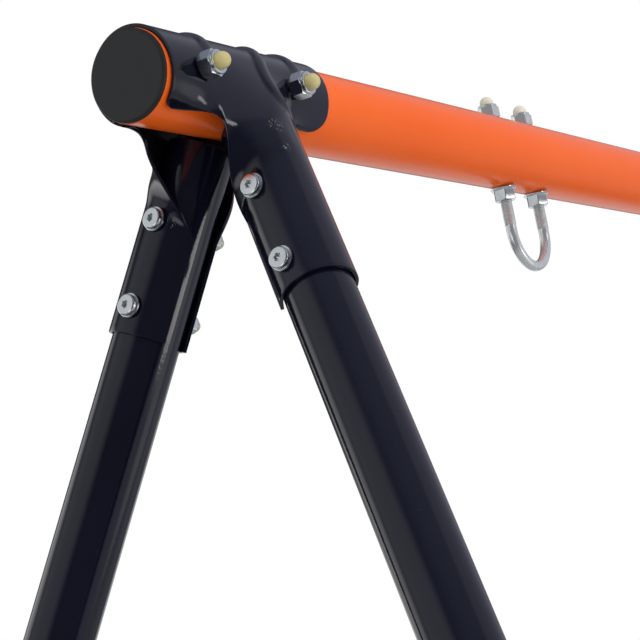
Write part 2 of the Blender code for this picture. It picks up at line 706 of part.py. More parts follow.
def add_crossbar(place, label):
    """The bar between a pair of legs: a round tube pressed flat at both ends and drilled."""
    near = leg_point(1, joint_drop())
    half = near.y + BAR_FLAT / 2.0
    reach = half - BAR_FLAT - BAR_NECK
    bm = bmesh.new()
    bmesh.ops.create_cone(bm, cap_ends=True, segments=BAR_SIDES, radius1=BAR_RADIUS,
                          radius2=BAR_RADIUS, depth=2.0 * half)
    steps = 5
    cuts = [reach + BAR_NECK * k / steps for k in range(steps + 1)]
    for cut in cuts + [-value for value in cuts]:
        bmesh.ops.bisect_plane(bm, geom=bm.verts[:] + bm.edges[:] + bm.faces[:],
                               plane_co=(0.0, 0.0, cut), plane_no=(0.0, 0.0, 1.0))
    pressed = BAR_PRESSED / 2.0 / BAR_RADIUS
    spread = (math.pi - 2.0 * pressed) / 2.0
    for vert in bm.verts:
        share = smooth((abs(vert.co.z) - reach) / BAR_NECK)
        vert.co.x *= mix(1.0, pressed, share)
        vert.co.y *= mix(1.0, spread, share)
    mesh = mesh_from(bm, "crossbar")
    inwards = Vector((math.cos(LEG_SPLAY), 0.0, -math.sin(LEG_SPLAY)))
    centre = Vector((near.x, 0.0, near.z))
    centre += inwards * (LEG_RADIUS + 2.0 * SEAT + BAR_PRESSED / 2.0)
    matrix = place @ axes_matrix(centre, (0.0, 1.0, 0.0), inwards)
    bar = add_object("crossbar_" + label, mesh, "frame_paint", matrix)
    crossings = [place @ joint_bolt_matrix(side) for side in (-1, 1)]
    boolean(bar, hole_cutter("crossbar_holes_" + label, crossings, LEG_BOLT + BOLT_CLEARANCE,
                             4.0 * LEG_RADIUS), "DIFFERENCE")


def add_foot(place, side, label):
    """A moulded boot on the leg's end, cut level, with a round pad that rests on the ground."""
    outer = LEG_RADIUS + SEAT + FOOT_WALL
    boot_length = FOOT_LENGTH + 2.0 * outer
    start = drop_to_length(ground_drop()) - FOOT_LENGTH
    top = drop_to_length(tube_end_drop()) - start
    bm = bmesh.new()
    bmesh.ops.create_cone(bm, cap_ends=True, segments=LEG_SIDES, radius1=outer, radius2=outer,
                          depth=boot_length, matrix=Matrix.Translation((0, 0, boot_length / 2)))
    matrix = place @ leg_placement(side, start * math.cos(LEG_SPLAY))
    bmesh.ops.transform(bm, matrix=matrix, verts=bm.verts)
    inside_pad = (0.0, 0.0, FOOT_PAD_HEIGHT / 3.0)
    cut = bmesh.ops.bisect_plane(bm, geom=bm.verts[:] + bm.edges[:] + bm.faces[:],
                                 plane_co=inside_pad, plane_no=(0.0, 0.0, -1.0),
                                 clear_outer=True)
    rim = [item for item in cut["geom_cut"] if isinstance(item, bmesh.types.BMEdge)]
    bmesh.ops.contextual_create(bm, geom=rim)
    foot = add_object("foot_" + label, mesh_from(bm, "foot"), "foot_plastic")
    contact = place @ leg_point(side, ground_drop())
    pad = turned("foot_pad", [(0.0, 0.0), (FOOT_PAD_RADIUS, 0.0),
                              (FOOT_PAD_RADIUS, FOOT_PAD_HEIGHT * 0.6),
                              (FOOT_PAD_RADIUS * 0.9, FOOT_PAD_HEIGHT), (0.0, FOOT_PAD_HEIGHT)],
                 LEG_SIDES)
    pad_place = Matrix.Translation((contact.x, contact.y, 0.0))
    boolean(foot, add_cutter("foot_pad_" + label, pad, pad_place), "UNION")
    bore = rod("foot_bore", LEG_RADIUS + SEAT, 2.0 * (top + SEAT), LEG_SIDES)
    boolean(foot, add_cutter("foot_bore_" + label, bore, matrix), "DIFFERENCE")


def hanger_mesh():
    """The U-bolt: thread on both straight legs, plain wire round the bend."""
    half = HANGER_SPAN / 2.0
    bend = HANGER_DROP - half
    ratio = HANGER_THREAD / HANGER_WIRE
    taper = 0.004
    top = BEAM_RADIUS + HANGER_THREAD * (NUT_HEIGHT_RATIO + COLLAR_HEIGHT_RATIO * 0.5)
    points = [(-half, top, ratio), (-half, -HANGER_THREAD_END, ratio),
              (-half, -HANGER_THREAD_END - taper, 1.0)]
    steps = 12
    for step in range(steps + 1):
        turn = math.pi * step / steps
        points.append((-half * math.cos(turn), -bend - half * math.sin(turn), 1.0))
    points += [(-x, z, size) for x, z, size in reversed(points[:3])]
    curve = bpy.data.curves.new("hanger_wire", "CURVE")
    curve.dimensions = "3D"
    curve.bevel_depth = HANGER_WIRE
    curve.bevel_resolution = 3
    curve.use_fill_caps = True
    curve.render_resolution_u = 0
    spline = curve.splines.new("POLY")
    spline.points.add(len(points) - 1)
    for point, (x, z, size) in zip(spline.points, points):
        point.co = (x, 0.0, z, 1.0)
        point.radius = size
    item = bpy.data.objects.new("hanger_wire", curve)
    cutters.objects.link(item)
    mesh = baked(item)
    bpy.data.objects.remove(item, do_unlink=True)
    bm = bmesh.new()
    bm.from_mesh(mesh)
    bmesh.ops.remove_doubles(bm, verts=bm.verts, dist=1e-6)
    return mesh_from(bm, "u_bolt")


def add_hanger(place, label, meshes):
    """A U-bolt through the beam, with a flanged nut below and a lock nut above each leg."""
    middle = place @ Matrix.Translation((HANGER_INSET, 0.0, 0.0))
    add_object("u_bolt_" + label, meshes["hanger"], "zinc", middle)
    for leg, which in ((-1, "outer"), (1, "inner")):
        at = Matrix.Translation((leg * HANGER_SPAN / 2.0, 0.0, 0.0))
        above = Matrix.Translation((0.0, 0.0, BEAM_RADIUS + SEAT))
        below = Matrix.Translation((0.0, 0.0, -BEAM_RADIUS - SEAT))
        flip = Matrix.Rotation(math.pi, 4, "X")
        add_object(f"hanger_lock_nut_{label}_{which}", meshes["hanger_nut"], "zinc",
                   middle @ at @ above)
        add_object(f"hanger_flange_nut_{label}_{which}", meshes["flange_nut"], "zinc",
                   middle @ at @ below @ flip)


def build():
    """The whole swing frame."""
    clear_scene()
    add_material("beam_paint", (0.82, 0.13, 0.03), 0.28, 0.0)
    add_material("frame_paint", (0.012, 0.013, 0.032), 0.22, 0.0)
    add_material("zinc", (0.62, 0.65, 0.68), 0.30, 1.0)
    add_material("cap_plastic", (0.020, 0.020, 0.020), 0.55, 0.0)
    add_material("foot_plastic", (0.020, 0.020, 0.020), 0.60, 0.0)
    upper, lower = leg_meshes()
    meshes = {
        "bracket": saddle_bracket(),
        "cap": end_cap_mesh(),
        "beam_bolt": bolt_mesh("beam_bolt", BEAM_BOLT, 2.0 * (SADDLE_RADIUS + BOLT_SEAT)),
        "beam_nut": lock_nut_mesh("beam_nut", BEAM_BOLT, False),
        "leg_bolt": bolt_mesh("leg_bolt", LEG_BOLT, 2.0 * (SLEEVE_RADIUS + BOLT_SEAT)),
        "leg_nut": lock_nut_mesh("leg_nut", LEG_BOLT, False),
        "joint_bolt": joint_bolt_mesh(),
        "hanger": hanger_mesh(),
        "hanger_nut": lock_nut_mesh("hanger_nut", HANGER_THREAD, False),
        "flange_nut": lock_nut_mesh("flange_nut", HANGER_THREAD, True),
        "upper_leg": upper,
        "lower_leg": lower,
    }
    crossbeam()
    add_end(-1, "left", meshes)
    add_end(1, "right", meshes)


build()
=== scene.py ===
# Looks of the a-frame swing set: powder-coated tubes, a pressed saddle bracket at each end, zinc
# bolts and nuts with moulded covers, and a studio set seen from the photograph's place.
# Metres. +X runs along the crossbeam, +Z is up, and the ground is at zero.
import math
import bmesh
import bpy
from mathutils import Matrix, Vector


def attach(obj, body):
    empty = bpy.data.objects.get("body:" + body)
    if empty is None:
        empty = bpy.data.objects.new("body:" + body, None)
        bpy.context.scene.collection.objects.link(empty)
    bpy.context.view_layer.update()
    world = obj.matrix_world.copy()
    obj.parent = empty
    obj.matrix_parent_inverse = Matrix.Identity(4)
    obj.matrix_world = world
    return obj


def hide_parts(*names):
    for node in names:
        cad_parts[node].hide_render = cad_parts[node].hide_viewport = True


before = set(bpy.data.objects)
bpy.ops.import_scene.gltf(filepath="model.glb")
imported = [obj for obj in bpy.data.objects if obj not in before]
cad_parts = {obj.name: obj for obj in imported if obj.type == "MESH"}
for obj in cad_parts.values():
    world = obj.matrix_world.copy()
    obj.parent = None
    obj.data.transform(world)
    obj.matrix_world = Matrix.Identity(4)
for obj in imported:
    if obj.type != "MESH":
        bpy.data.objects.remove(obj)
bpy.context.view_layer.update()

# Sizes of the model. Most are the solids' own. The beads lean here as they do in the photograph;
# the saddle's front edge, the lock nuts' collars, the covers and the cap's rim are fitted closer to
# it than in the solids; and the small detail is in the looks alone.
BEAM_LENGTH = 2.300
BEAM_HEIGHT = 1.800
BEAM_RADIUS = 0.030
BEAM_WALL = 0.0020
LEG_LEAN = math.radians(21.7)
LEG_SPLAY = math.radians(13.75)
LEG_RADIUS = 0.0225
LEG_WALL = 0.0015
LEG_INSET = 0.101
LEG_OFFSET = 0.0088
LEG_TOP = 0.037
LEG_JOINT = 1.000
SPIGOT_LENGTH = 0.085
SPIGOT_CLEARANCE = 0.0005
SHEET = 0.0022
SADDLE_RADIUS = 0.0328
SLEEVE_RADIUS = 0.0255
SADDLE_FRONT = 0.0015
SADDLE_LENGTH = 0.1725
FRONT_TAPER = 0.0025
FRONT_ROUNDING = 0.006
REAR_TAPER = 0.003
REAR_ROUNDING = 0.015
SLEEVE_END = 0.167
SLEEVE_WRAP_NEAR = math.radians(155.8)
SLEEVE_WRAP_FAR = math.radians(146.0)
LIP_NEAR = 0.0010
BULGE = 0.0020
BULGE_DROPS = (0.042, 0.058, 0.063, 0.081)
LIP_FAR = 0.0017
FRONT_WRAP = math.radians(143.0)
REAR_WRAP = math.radians(139.0)
WEB_FRONT = 0.0435
WEB_REAR = 0.127
WEB_DROP_FRONT = 0.042
WEB_DROP_REAR = 0.034
WEB_NARROWING = 0.79
WEB_WIDENING = 1.36
WEB_TUCK = 0.0055
TANGENT_GAP = 1.0001
WING_FLARE = math.radians(12.0)
WING_FLARE_START = 1.6
NEAR_PULL_EASES = (2.0, 6.0)
FAR_PULL_EASES = (3.0, 3.0)
NEAR_TURN_EASE = 1.52
NEAR_WIDTH_EASE = 1.46
FAR_TURN_EASE = 0.85
FAR_WIDTH_EASE = 1.4
THROAT_FRONT = 0.098
THROAT_REAR = 0.096
BEADS = (0.0532, 0.1145, 0.1480)
BEAD_SLANTS = (0.0088, 0.0150, 0.0063)
BEAD_WIDTH = 0.0145
BEAD_HEIGHT = 0.0021
BEAD_REACH = math.radians(74.0)
BEAD_FADE = 0.35
BEAD_CURVE = 1.3
RIDGE_END_SLANT = -0.2
RIDGE_FADE = (0.024, 0.052)
SEAT = 0.0003
BOLT_SEAT = 0.0012
LEG_BOLT_INWARD = math.radians(4.5)
LEG_BOLT_UPWARD = math.radians(3.5)
BEAM_BOLT = 0.0050
BEAM_BOLT_INSETS = (0.033, 0.132)
LEG_BOLT = 0.0040
LEG_BOLT_STATIONS = (0.0928, 0.1498)
NUT_RATIO = 1.90
NUT_HEIGHT_RATIO = 1.85
COLLAR_RATIO = 1.60
COLLAR_HEIGHT_RATIO = 0.45
DOME_RATIO = 1.12
DOME_STAND_RATIO = 0.40
BORE_RATIO = 1.02
HEAD_RATIO = 1.80
HEAD_HEIGHT = 0.0032
HEAD_FLAT = 0.80
LOBE_RATIO = 0.72
RECESS_DEPTH = 0.0022
WASHER_RATIO = 2.05
WASHER_HEIGHT = 0.0014
FLANGE_RATIO = 2.15
FLANGE_HEIGHT = 0.0018
HANGER_INSET = 0.5065
HANGER_SPAN = 0.060
HANGER_DROP = 0.0963
HANGER_WIRE = 0.0045
HANGER_THREAD = 0.0050
HANGER_THREAD_END = 0.062
THREAD_PITCH = 0.0015
THREAD_DEPTH = 0.0006
BAR_RADIUS = 0.016
BAR_PRESSED = 0.0040
BAR_FLAT = 0.050
BAR_NECK = 0.055
BAR_CORNER = 0.022
BAR_CORNER_NARROWING = 0.35
CAP_FACE = 0.0032
CAP_ROUNDING = 0.0022
CAP_PLUG = 0.020
CAP_WALL = 0.002
FOOT_WALL = 0.0035
FOOT_LENGTH = 0.070
FOOT_PAD_RADIUS = 0.040
FOOT_PAD_HEIGHT = 0.008
FOOT_FLOOR = 0.008
FOOT_LIP = 0.0012
FOOT_LIP_END = 0.0050
FOOT_DRAFT = 0.0004
ENDS = ((-1, "left"), (1, "right"))


def smooth(value):
    """Ease from 0 to 1."""
    value = min(max(value, 0.0), 1.0)
    return value * value * (3.0 - 2.0 * value)


def mix(a, b, share):
    return a + (b - a) * share


# Materials

def linear(code):
    """An sRGB hex colour as linear values with alpha."""
    values = [int(code[k:k + 2], 16) / 255.0 for k in (1, 3, 5)]
    return tuple(v / 12.92 if v <= 0.04045 else ((v + 0.055) / 1.055) ** 2.4
                 for v in values) + (1.0,)


def new_material(name):
    """A material that holds only a Principled shader and its output."""
    material = bpy.data.materials.new(name)
    material.use_nodes = True
    return material, material.node_tree, material.node_tree.nodes["Principled BSDF"]


def add_node(tree, kind, inputs=None, **settings):
    """A node with its settings; inputs maps a socket to a value or to another node's socket."""
    node = tree.nodes.new(kind)
    for key, value in settings.items():
        setattr(node, key, value)
    for key, value in (inputs or {}).items():
        if isinstance(value, bpy.types.NodeSocket):
            tree.links.new(value, node.inputs[key])
        else:
            node.inputs[key].default_value = value
    return node


def add_ramp(tree, source, stops):
    """A colour ramp from (position, colour) stops."""
    ramp = add_node(tree, "ShaderNodeValToRGB", {"Fac": source})
    elements = ramp.color_ramp.elements
    while len(elements) < len(stops):
        elements.new(0.5)
    for element, (position, colour) in zip(elements, stops):
        element.position = position
        element.color = colour if len(colour) == 4 else (*colour, 1.0)
    return ramp.outputs["Color"]


def grey(value):
    return (value, value, value, 1.0)


def dress(tree, shader, tone, gloss, bump):
    """Give a shader its colour, its roughness and its fine relief."""
    tree.links.new(tone, shader.inputs["Base Color"])
    tree.links.new(gloss, shader.inputs["Roughness"])
    tree.links.new(bump.outputs["Normal"], shader.inputs["Normal"])


# Where handling has scraped the bracket's paint: place and reach, and the colour it leaves
SCRAPED = "#83887F"
SCUFFS = (
    ((-1.0738, -0.0501, 1.7627), 0.0075),
    ((-1.0772, -0.0568, 1.7458), 0.0042),
    ((-1.0950, 0.0300, 1.7180), 0.0040),
    ((-1.1060, 0.0240, 1.7560), 0.0060),
)


def add_scuffs(tree, place, scuffs):
    """A mask of fine scraped flecks round each scuff's place."""
    stretch = add_node(tree, "ShaderNodeMapping", {"Vector": place, "Scale": (900.0, 900.0, 420.0),
                                                   "Rotation": (0.4, 0.5, 0.2)})
    fleck = add_node(tree, "ShaderNodeTexNoise", {"Vector": stretch.outputs[0], "Scale": 1.0,
                                                  "Detail": 3.0, "Roughness": 0.65})
    flecks = add_node(tree, "ShaderNodeMapRange", {"Value": fleck.outputs["Fac"], "From Min": 0.57,
                                                   "From Max": 0.66}).outputs[0]
    total = None
    for centre, reach in scuffs:
        away = add_node(tree, "ShaderNodeVectorMath", {0: place, 1: centre},
                        operation="DISTANCE").outputs["Value"]
        near = add_node(tree, "ShaderNodeMapRange", {"Value": away, "From Min": reach,
                                                     "From Max": reach * 0.3},
                        interpolation_type="SMOOTHSTEP").outputs[0]
        if total is not None:
            near = add_node(tree, "ShaderNodeMath", {0: total, 1: near},
                            operation="MAXIMUM").outputs[0]
        total = near
    return add_node(tree, "ShaderNodeMath", {0: total, 1: flecks}, operation="MULTIPLY").outputs[0]


def powder_coat(name, colour, dusty, deep, roughness, gloss_level=0.5, scuffs=()):
    """Powder coat over steel: baked polyester, glossy with the faint waviness of orange peel,
    a few dust specks in the film, a slightly uneven gloss and pale scrapes where it was handled."""
    material, tree, shader = new_material(name)
    place = add_node(tree, "ShaderNodeTexCoord").outputs["Object"]
    peel = add_node(tree, "ShaderNodeTexNoise", {"Vector": place, "Scale": 420.0, "Detail": 2.0,
                                                 "Roughness": 0.45})
    swell = add_node(tree, "ShaderNodeTexNoise", {"Vector": place, "Scale": 60.0, "Detail": 1.0})
    cloud = add_node(tree, "ShaderNodeTexNoise", {"Vector": place, "Scale": 9.0, "Detail": 4.0,
                                                  "Roughness": 0.6})
    speck = add_node(tree, "ShaderNodeTexVoronoi", {"Vector": place, "Scale": 130.0,
                                                    "Randomness": 1.0})
    tone = add_ramp(tree, cloud.outputs["Fac"], [(0.35, linear(deep)), (0.70, linear(colour))])
    dots = add_ramp(tree, speck.outputs["Distance"], [(0.02, grey(1.0)), (0.05, grey(0.0))])
    mixed = add_node(tree, "ShaderNodeMix", {0: dots, 6: tone, 7: linear(dusty)},
                     data_type="RGBA", clamp_result=True)
    if scuffs:
        scraped = add_scuffs(tree, place, scuffs)
        mixed = add_node(tree, "ShaderNodeMix", {0: scraped, 6: mixed.outputs[2],
                                                 7: linear(SCRAPED)}, data_type="RGBA")
    gloss = add_ramp(tree, cloud.outputs["Fac"], [(0.30, grey(roughness * 0.8)),
                                                  (0.75, grey(roughness * 1.35))])
    height = add_node(tree, "ShaderNodeMath", {0: peel.outputs["Fac"], 1: swell.outputs["Fac"]},
                      operation="ADD")
    bump = add_node(tree, "ShaderNodeBump", {"Strength": 0.06, "Distance": 0.0004,
                                             "Height": height.outputs[0]})
    dress(tree, shader, mixed.outputs[2], gloss, bump)
    shader.inputs["IOR"].default_value = 1.5
    shader.inputs["Specular IOR Level"].default_value = gloss_level
    return material


def zinc_plate(name, light, dark, roughness, metal):
    """Bright zinc plating on steel: a pale, satin metallic grey with cloudy passivation and the
    faint handling marks of tumbled fasteners."""
    material, tree, shader = new_material(name)
    place = add_node(tree, "ShaderNodeTexCoord").outputs["Object"]
    cloud = add_node(tree, "ShaderNodeTexNoise", {"Vector": place, "Scale": 190.0, "Detail": 3.0,
                                                  "Roughness": 0.55})
    stretch = add_node(tree, "ShaderNodeMapping", {"Vector": place,
                                                   "Scale": (300.0, 300.0, 2600.0)})
    scratch = add_node(tree, "ShaderNodeTexNoise", {"Vector": stretch.outputs[0], "Scale": 1.0,
                                                    "Detail": 2.0})
    tone = add_ramp(tree, cloud.outputs["Fac"], [(0.30, linear(dark)), (0.68, linear(light))])
    gloss = add_ramp(tree, cloud.outputs["Fac"], [(0.25, grey(roughness * 1.25)),
                                                  (0.75, grey(roughness * 0.85))])
    bump = add_node(tree, "ShaderNodeBump", {"Strength": 0.05, "Distance": 0.00005,
                                             "Height": scratch.outputs["Fac"]})
    dress(tree, shader, tone, gloss, bump)
    shader.inputs["Metallic"].default_value = metal
    return material


def moulded_plastic(name, colour, worn, roughness, grain, depth, subsurface=0.0):
    """Injection-moulded polyethylene: even colour with a fine spark-eroded grain and pale rubs."""
    material, tree, shader = new_material(name)
    place = add_node(tree, "ShaderNodeTexCoord").outputs["Object"]
    fine = add_node(tree, "ShaderNodeTexNoise", {"Vector": place, "Scale": grain, "Detail": 3.0})
    rub = add_node(tree, "ShaderNodeTexNoise", {"Vector": place, "Scale": 55.0, "Detail": 6.0,
                                                "Roughness": 0.7})
    tone = add_ramp(tree, rub.outputs["Fac"], [(0.45, linear(colour)), (0.80, linear(worn))])
    gloss = add_ramp(tree, rub.outputs["Fac"], [(0.30, grey(roughness * 0.85)),
                                                (0.75, grey(min(roughness * 1.2, 1.0)))])
    bump = add_node(tree, "ShaderNodeBump", {"Strength": 0.25, "Distance": depth,
                                             "Height": fine.outputs["Fac"]})
    dress(tree, shader, tone, gloss, bump)
    shader.inputs["IOR"].default_value = 1.5
    shader.inputs["Subsurface Weight"].default_value = subsurface
    shader.inputs["Subsurface Radius"].default_value = (0.6, 0.5, 0.3)
    shader.inputs["Subsurface Scale"].default_value = 0.004
    return material


ORANGE_COAT = powder_coat("orange_powder_coat", "#DC5E1D", "#E2743B", "#D75819", 0.20, 0.16)
NAVY_COAT = powder_coat("navy_powder_coat", "#0B0D1B", "#262A38", "#090B17", 0.10, scuffs=SCUFFS)
NAVY_INSIDE = powder_coat("navy_powder_coat_thin", "#0D0F18", "#262A38", "#0A0B12", 0.42, 0.22)
ZINC = zinc_plate("bright_zinc_plate", "#E9EDED", "#D9DEDF", 0.17, 1.0)
ZINC_WIRE = zinc_plate("zinc_plated_wire", "#E6EAEA", "#D5DADB", 0.23, 0.80)
CAP_BLACK = moulded_plastic("black_polyethylene", "#141415", "#1C1C1D", 0.55, 1500.0, 0.0001)
FOOT_BLACK = moulded_plastic("black_polypropylene", "#202122", "#3A3A38", 0.62, 900.0, 0.0002)
# Covers on the U-bolt's nuts: the same translucent cream plastic, but painted paler and greyer as
# painted backlight from the white backdrop shining through them.
COVER_PAINTED_BACKLIGHT = moulded_plastic("cream_polyethylene_painted_backlight", "#C6C3B0", "#D2D0C4", 0.20, 700.0,
                             0.00005, 0.30)
COVER_BEIGE = moulded_plastic("cream_polyethylene", "#AFA472", "#BDB487", 0.13, 700.0,
                              0.00005, 0.15)


# Shapes

# Sides of the round pieces
BEAM_SIDES = 96
LEG_SIDES = 64
BAR_SIDES = 48
BOLT_SIDES = 72
COVER_SIDES = 48
WIRE_SIDES = 32
BEND_STEPS = 20
ALONG_BEAM = Matrix.Rotation(math.pi / 2.0, 4, "Y")


def as_mesh(name, bm):
    """A mesh with what the bmesh holds."""
    mesh = bpy.data.meshes.new(name)
    bm.to_mesh(mesh)
    bm.free()
    return mesh


def add_object(name, data):
    item = bpy.data.objects.new(name, data)
    bpy.context.scene.collection.objects.link(item)
    return item


def raised(place, height):
    """A placement moved along its own Z."""
    return place @ Matrix.Translation((0.0, 0.0, height))


def finish(name, bm, material, nodes=(), angle=35.0):
    """Turn a bmesh into a finished piece: outward faces, smooth shading, riding on the frame."""
    bmesh.ops.remove_doubles(bm, verts=bm.verts, dist=2e-6)
    bmesh.ops.recalc_face_normals(bm, faces=bm.faces)
    return add_piece(name, as_mesh(name, bm), material, nodes, angle)


def add_piece(name, mesh, material, nodes=(), angle=35.0):
    mesh.materials.append(material)
    mesh.shade_smooth()
    mesh.set_sharp_from_angle(angle=math.radians(angle))
    item = add_object(name, mesh)
    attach(item, "root")
    if nodes:
        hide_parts(*nodes)
    return item


def loft(rings, sides, bm=None, matrix=Matrix()):
    """Extrude a ring of edges from station to station. A station is (radius, height), and either
    may be a function of the angle round Z. The end rings are closed where they reach radius 0."""
    bm = bm or bmesh.new()
    made = bmesh.ops.create_circle(bm, cap_ends=False, segments=sides, radius=1.0)["verts"]
    turns = {vert: math.atan2(vert.co.y, vert.co.x) for vert in made}
    edges = list({edge for vert in made for edge in vert.link_edges})
    everything = list(made)

    def place_ring(places, station):
        for vert, turn in places.items():
            radius, height = (value(turn) if callable(value) else value for value in station)
            vert.co = (radius * math.cos(turn), radius * math.sin(turn), height)

    place_ring(turns, rings[0])
    for station in rings[1:]:
        geometry = bmesh.ops.extrude_edge_only(bm, edges=edges)["geom"]
        fresh = [item for item in geometry if isinstance(item, bmesh.types.BMVert)]
        edges = [item for item in geometry if isinstance(item, bmesh.types.BMEdge)
                 and all(vert in fresh for vert in item.verts)]
        owners = {}
        for vert in fresh:
            for edge in vert.link_edges:
                other = edge.other_vert(vert)
                if other in turns:
                    owners[vert] = turns[other]
        turns = owners
        place_ring(turns, station)
        everything += fresh
    bmesh.ops.transform(bm, matrix=matrix, verts=everything)
    return bm


def ring_walk(rings):
    """A closed wall needs its last station joined to its first: repeat it."""
    return rings + [rings[0]]


def frame_at(origin, z_axis, x_hint):
    """A placement whose Z runs along z_axis and whose X lies as near as possible to x_hint."""
    z = Vector(z_axis).normalized()
    x = Vector(x_hint)
    x = (x - x.dot(z) * z).normalized()
    turn = Matrix((x, z.cross(x), z)).transposed()
    return Matrix.Translation(Vector(origin)) @ turn.to_4x4()


# Places. Each end has its own space: X runs inwards from the beam's end, Z up from its axis.

def end_matrix(end):
    turn = Matrix.Rotation(0.0 if end < 0 else math.pi, 4, "Z")
    return Matrix.Translation((end * BEAM_LENGTH / 2.0, 0.0, BEAM_HEIGHT)) @ turn


def leg_direction(side):
    return Vector((-math.sin(LEG_SPLAY), side * math.sin(LEG_LEAN) * math.cos(LEG_SPLAY),
                   -math.cos(LEG_LEAN) * math.cos(LEG_SPLAY)))


def axis_x(drop):
    return LEG_INSET - math.tan(LEG_SPLAY) * drop


def from_slope(side, x, drop, height):
    """A point from its place along the beam, its drop down the A's slope and its stand-off."""
    down = Vector((0.0, side * math.sin(LEG_LEAN), -math.cos(LEG_LEAN)))
    out = Vector((0.0, side * math.cos(LEG_LEAN), math.sin(LEG_LEAN)))
    return Vector((x, 0.0, 0.0)) + drop * down + height * out


def leg_point(side, drop):
    return from_slope(side, axis_x(drop), drop, LEG_OFFSET)


def bolt_direction(side):
    along = leg_direction(side)
    outwards = Vector((-1.0, 0.0, 0.0))
    return (outwards - outwards.dot(along) * along).normalized()


def leg_bolt_matrix(side, drop):
    along = leg_direction(side)
    inward = bolt_direction(side).cross(along) * side
    lean = inward * math.tan(LEG_BOLT_INWARD) - along * math.tan(LEG_BOLT_UPWARD)
    origin = leg_point(side, drop) + lean * (SLEEVE_RADIUS + BOLT_SEAT)
    return frame_at(origin, lean - bolt_direction(side), along)


def beam_bolt_matrix(inset):
    return frame_at((inset, 0.0, 0.0), (0.0, -1.0, 0.0), (1.0, 0.0, 0.0))


def leg_matrix(side, drop):
    return frame_at(leg_point(side, drop), leg_direction(side), bolt_direction(side))


def length_of(drop):
    return drop / math.cos(LEG_SPLAY)


def ground_drop():
    return (BEAM_HEIGHT + LEG_OFFSET * math.sin(LEG_LEAN)) / math.cos(LEG_LEAN)


def tube_end_drop():
    slope = math.sqrt(1.0 - leg_direction(1).z ** 2)
    return ground_drop() - (LEG_RADIUS * slope + FOOT_FLOOR) / math.cos(LEG_LEAN)


def joint_drop():
    return LEG_JOINT - SPIGOT_LENGTH / 2.0


# Saddle bracket: a grid bent to its form, finer than the solid's, with the flats that are pressed
# round the leg bolts. Its lines crowd together where the sheet bends most.
FRONT_COLUMNS = 24
HALF_COLUMNS = 48
REAR_COLUMNS = 44
SADDLE_ROWS = 24
WING_ROWS = 14
SLEEVE_ROWS = 44
COLUMN_CROWDING = 1.2
WING_CROWDING = 1.3
SLEEVE_CROWDING = 1.15
BOSS_RADIUS = 0.0115
BOSS_EDGE = 0.0030
SHEARED_EDGE = 0.0007


def column_positions():
    front = [mix(WEB_FRONT, SADDLE_FRONT, (1.0 - k / FRONT_COLUMNS) ** COLUMN_CROWDING)
             for k in range(FRONT_COLUMNS)]
    near = [mix(WEB_FRONT, LEG_INSET, k / HALF_COLUMNS) for k in range(HALF_COLUMNS)]
    far = [mix(LEG_INSET, WEB_REAR, k / HALF_COLUMNS) for k in range(HALF_COLUMNS)]
    rear = [mix(WEB_REAR, SADDLE_FRONT + SADDLE_LENGTH, k / REAR_COLUMNS)
            for k in range(REAR_COLUMNS + 1)]
    return front + near + far + rear


def bead_height(which, x, slant):
    """A bead's rounded back between two crisp feet; slant 1 is its place beside the beam."""
    offset = (x - BEADS[which] + BEAD_SLANTS[which] * slant) / (BEAD_WIDTH / 2.0)
    return BEAD_HEIGHT * max(1.0 - offset ** 2, 0.0)


def bead_lift(x, angle):
    """The beads lean outwards as they come down; the outer two fade out beside their bolts and
    the middle one runs on down the arm."""
    slant = (angle / (math.pi / 2.0 - LEG_LEAN)) ** BEAD_CURVE
    ends = bead_height(0, x, slant) + bead_height(2, x, slant)
    fade = smooth((BEAD_REACH - angle) / (BEAD_REACH * BEAD_FADE))
    return bead_height(1, x, slant) + ends * fade


def saddle_point(x, angle):
    radius = SADDLE_RADIUS + bead_lift(x, angle)
    turn = angle + LEG_LEAN
    return Vector((x, -radius * math.cos(turn), radius * math.sin(turn)))


def web_height(drop):
    if drop < SADDLE_RADIUS * math.sin(LEG_LEAN):
        return math.sqrt(SADDLE_RADIUS ** 2 - drop ** 2) - LEG_OFFSET
    return (SADDLE_RADIUS - drop * math.sin(LEG_LEAN)) / math.cos(LEG_LEAN) - LEG_OFFSET


def tucked(near, drop):
    """Stand-off of a web's free edge; the rear one tucks in under the beam."""
    start = SADDLE_RADIUS * math.sin(LEG_LEAN)
    share = 0.0 if near else smooth((drop - start) / (WEB_DROP_REAR - start))
    return web_height(drop) - WEB_TUCK * share


def web_edge(near, drop):
    top_width = abs(LEG_INSET - (WEB_FRONT if near else WEB_REAR)) * math.cos(LEG_SPLAY)
    start = WEB_DROP_FRONT if near else WEB_DROP_REAR
    share = min(drop / start, 1.0)
    width = top_width * mix(1.0, WEB_NARROWING if near else WEB_WIDENING, share)
    if drop <= start:
        return Vector((width, tucked(near, drop)))
    open_edge = Vector((width, tucked(near, start)))
    turn = math.atan2(open_edge.x, open_edge.y)
    share = min((drop - start) / ((THROAT_FRONT if near else THROAT_REAR) - start), 1.0)
    if near:
        turn = mix(turn, SLEEVE_WRAP_NEAR, share ** NEAR_TURN_EASE)
        radius = mix(SLEEVE_RADIUS + LIP_NEAR, open_edge.length,
                     (1.0 - share) ** NEAR_WIDTH_EASE)
    else:
        turn = mix(turn, SLEEVE_WRAP_FAR, smooth(share ** FAR_TURN_EASE))
        radius = mix(open_edge.length, SLEEVE_RADIUS + LIP_FAR, share ** FAR_WIDTH_EASE)
    return Vector((radius * math.sin(turn), radius * math.cos(turn)))


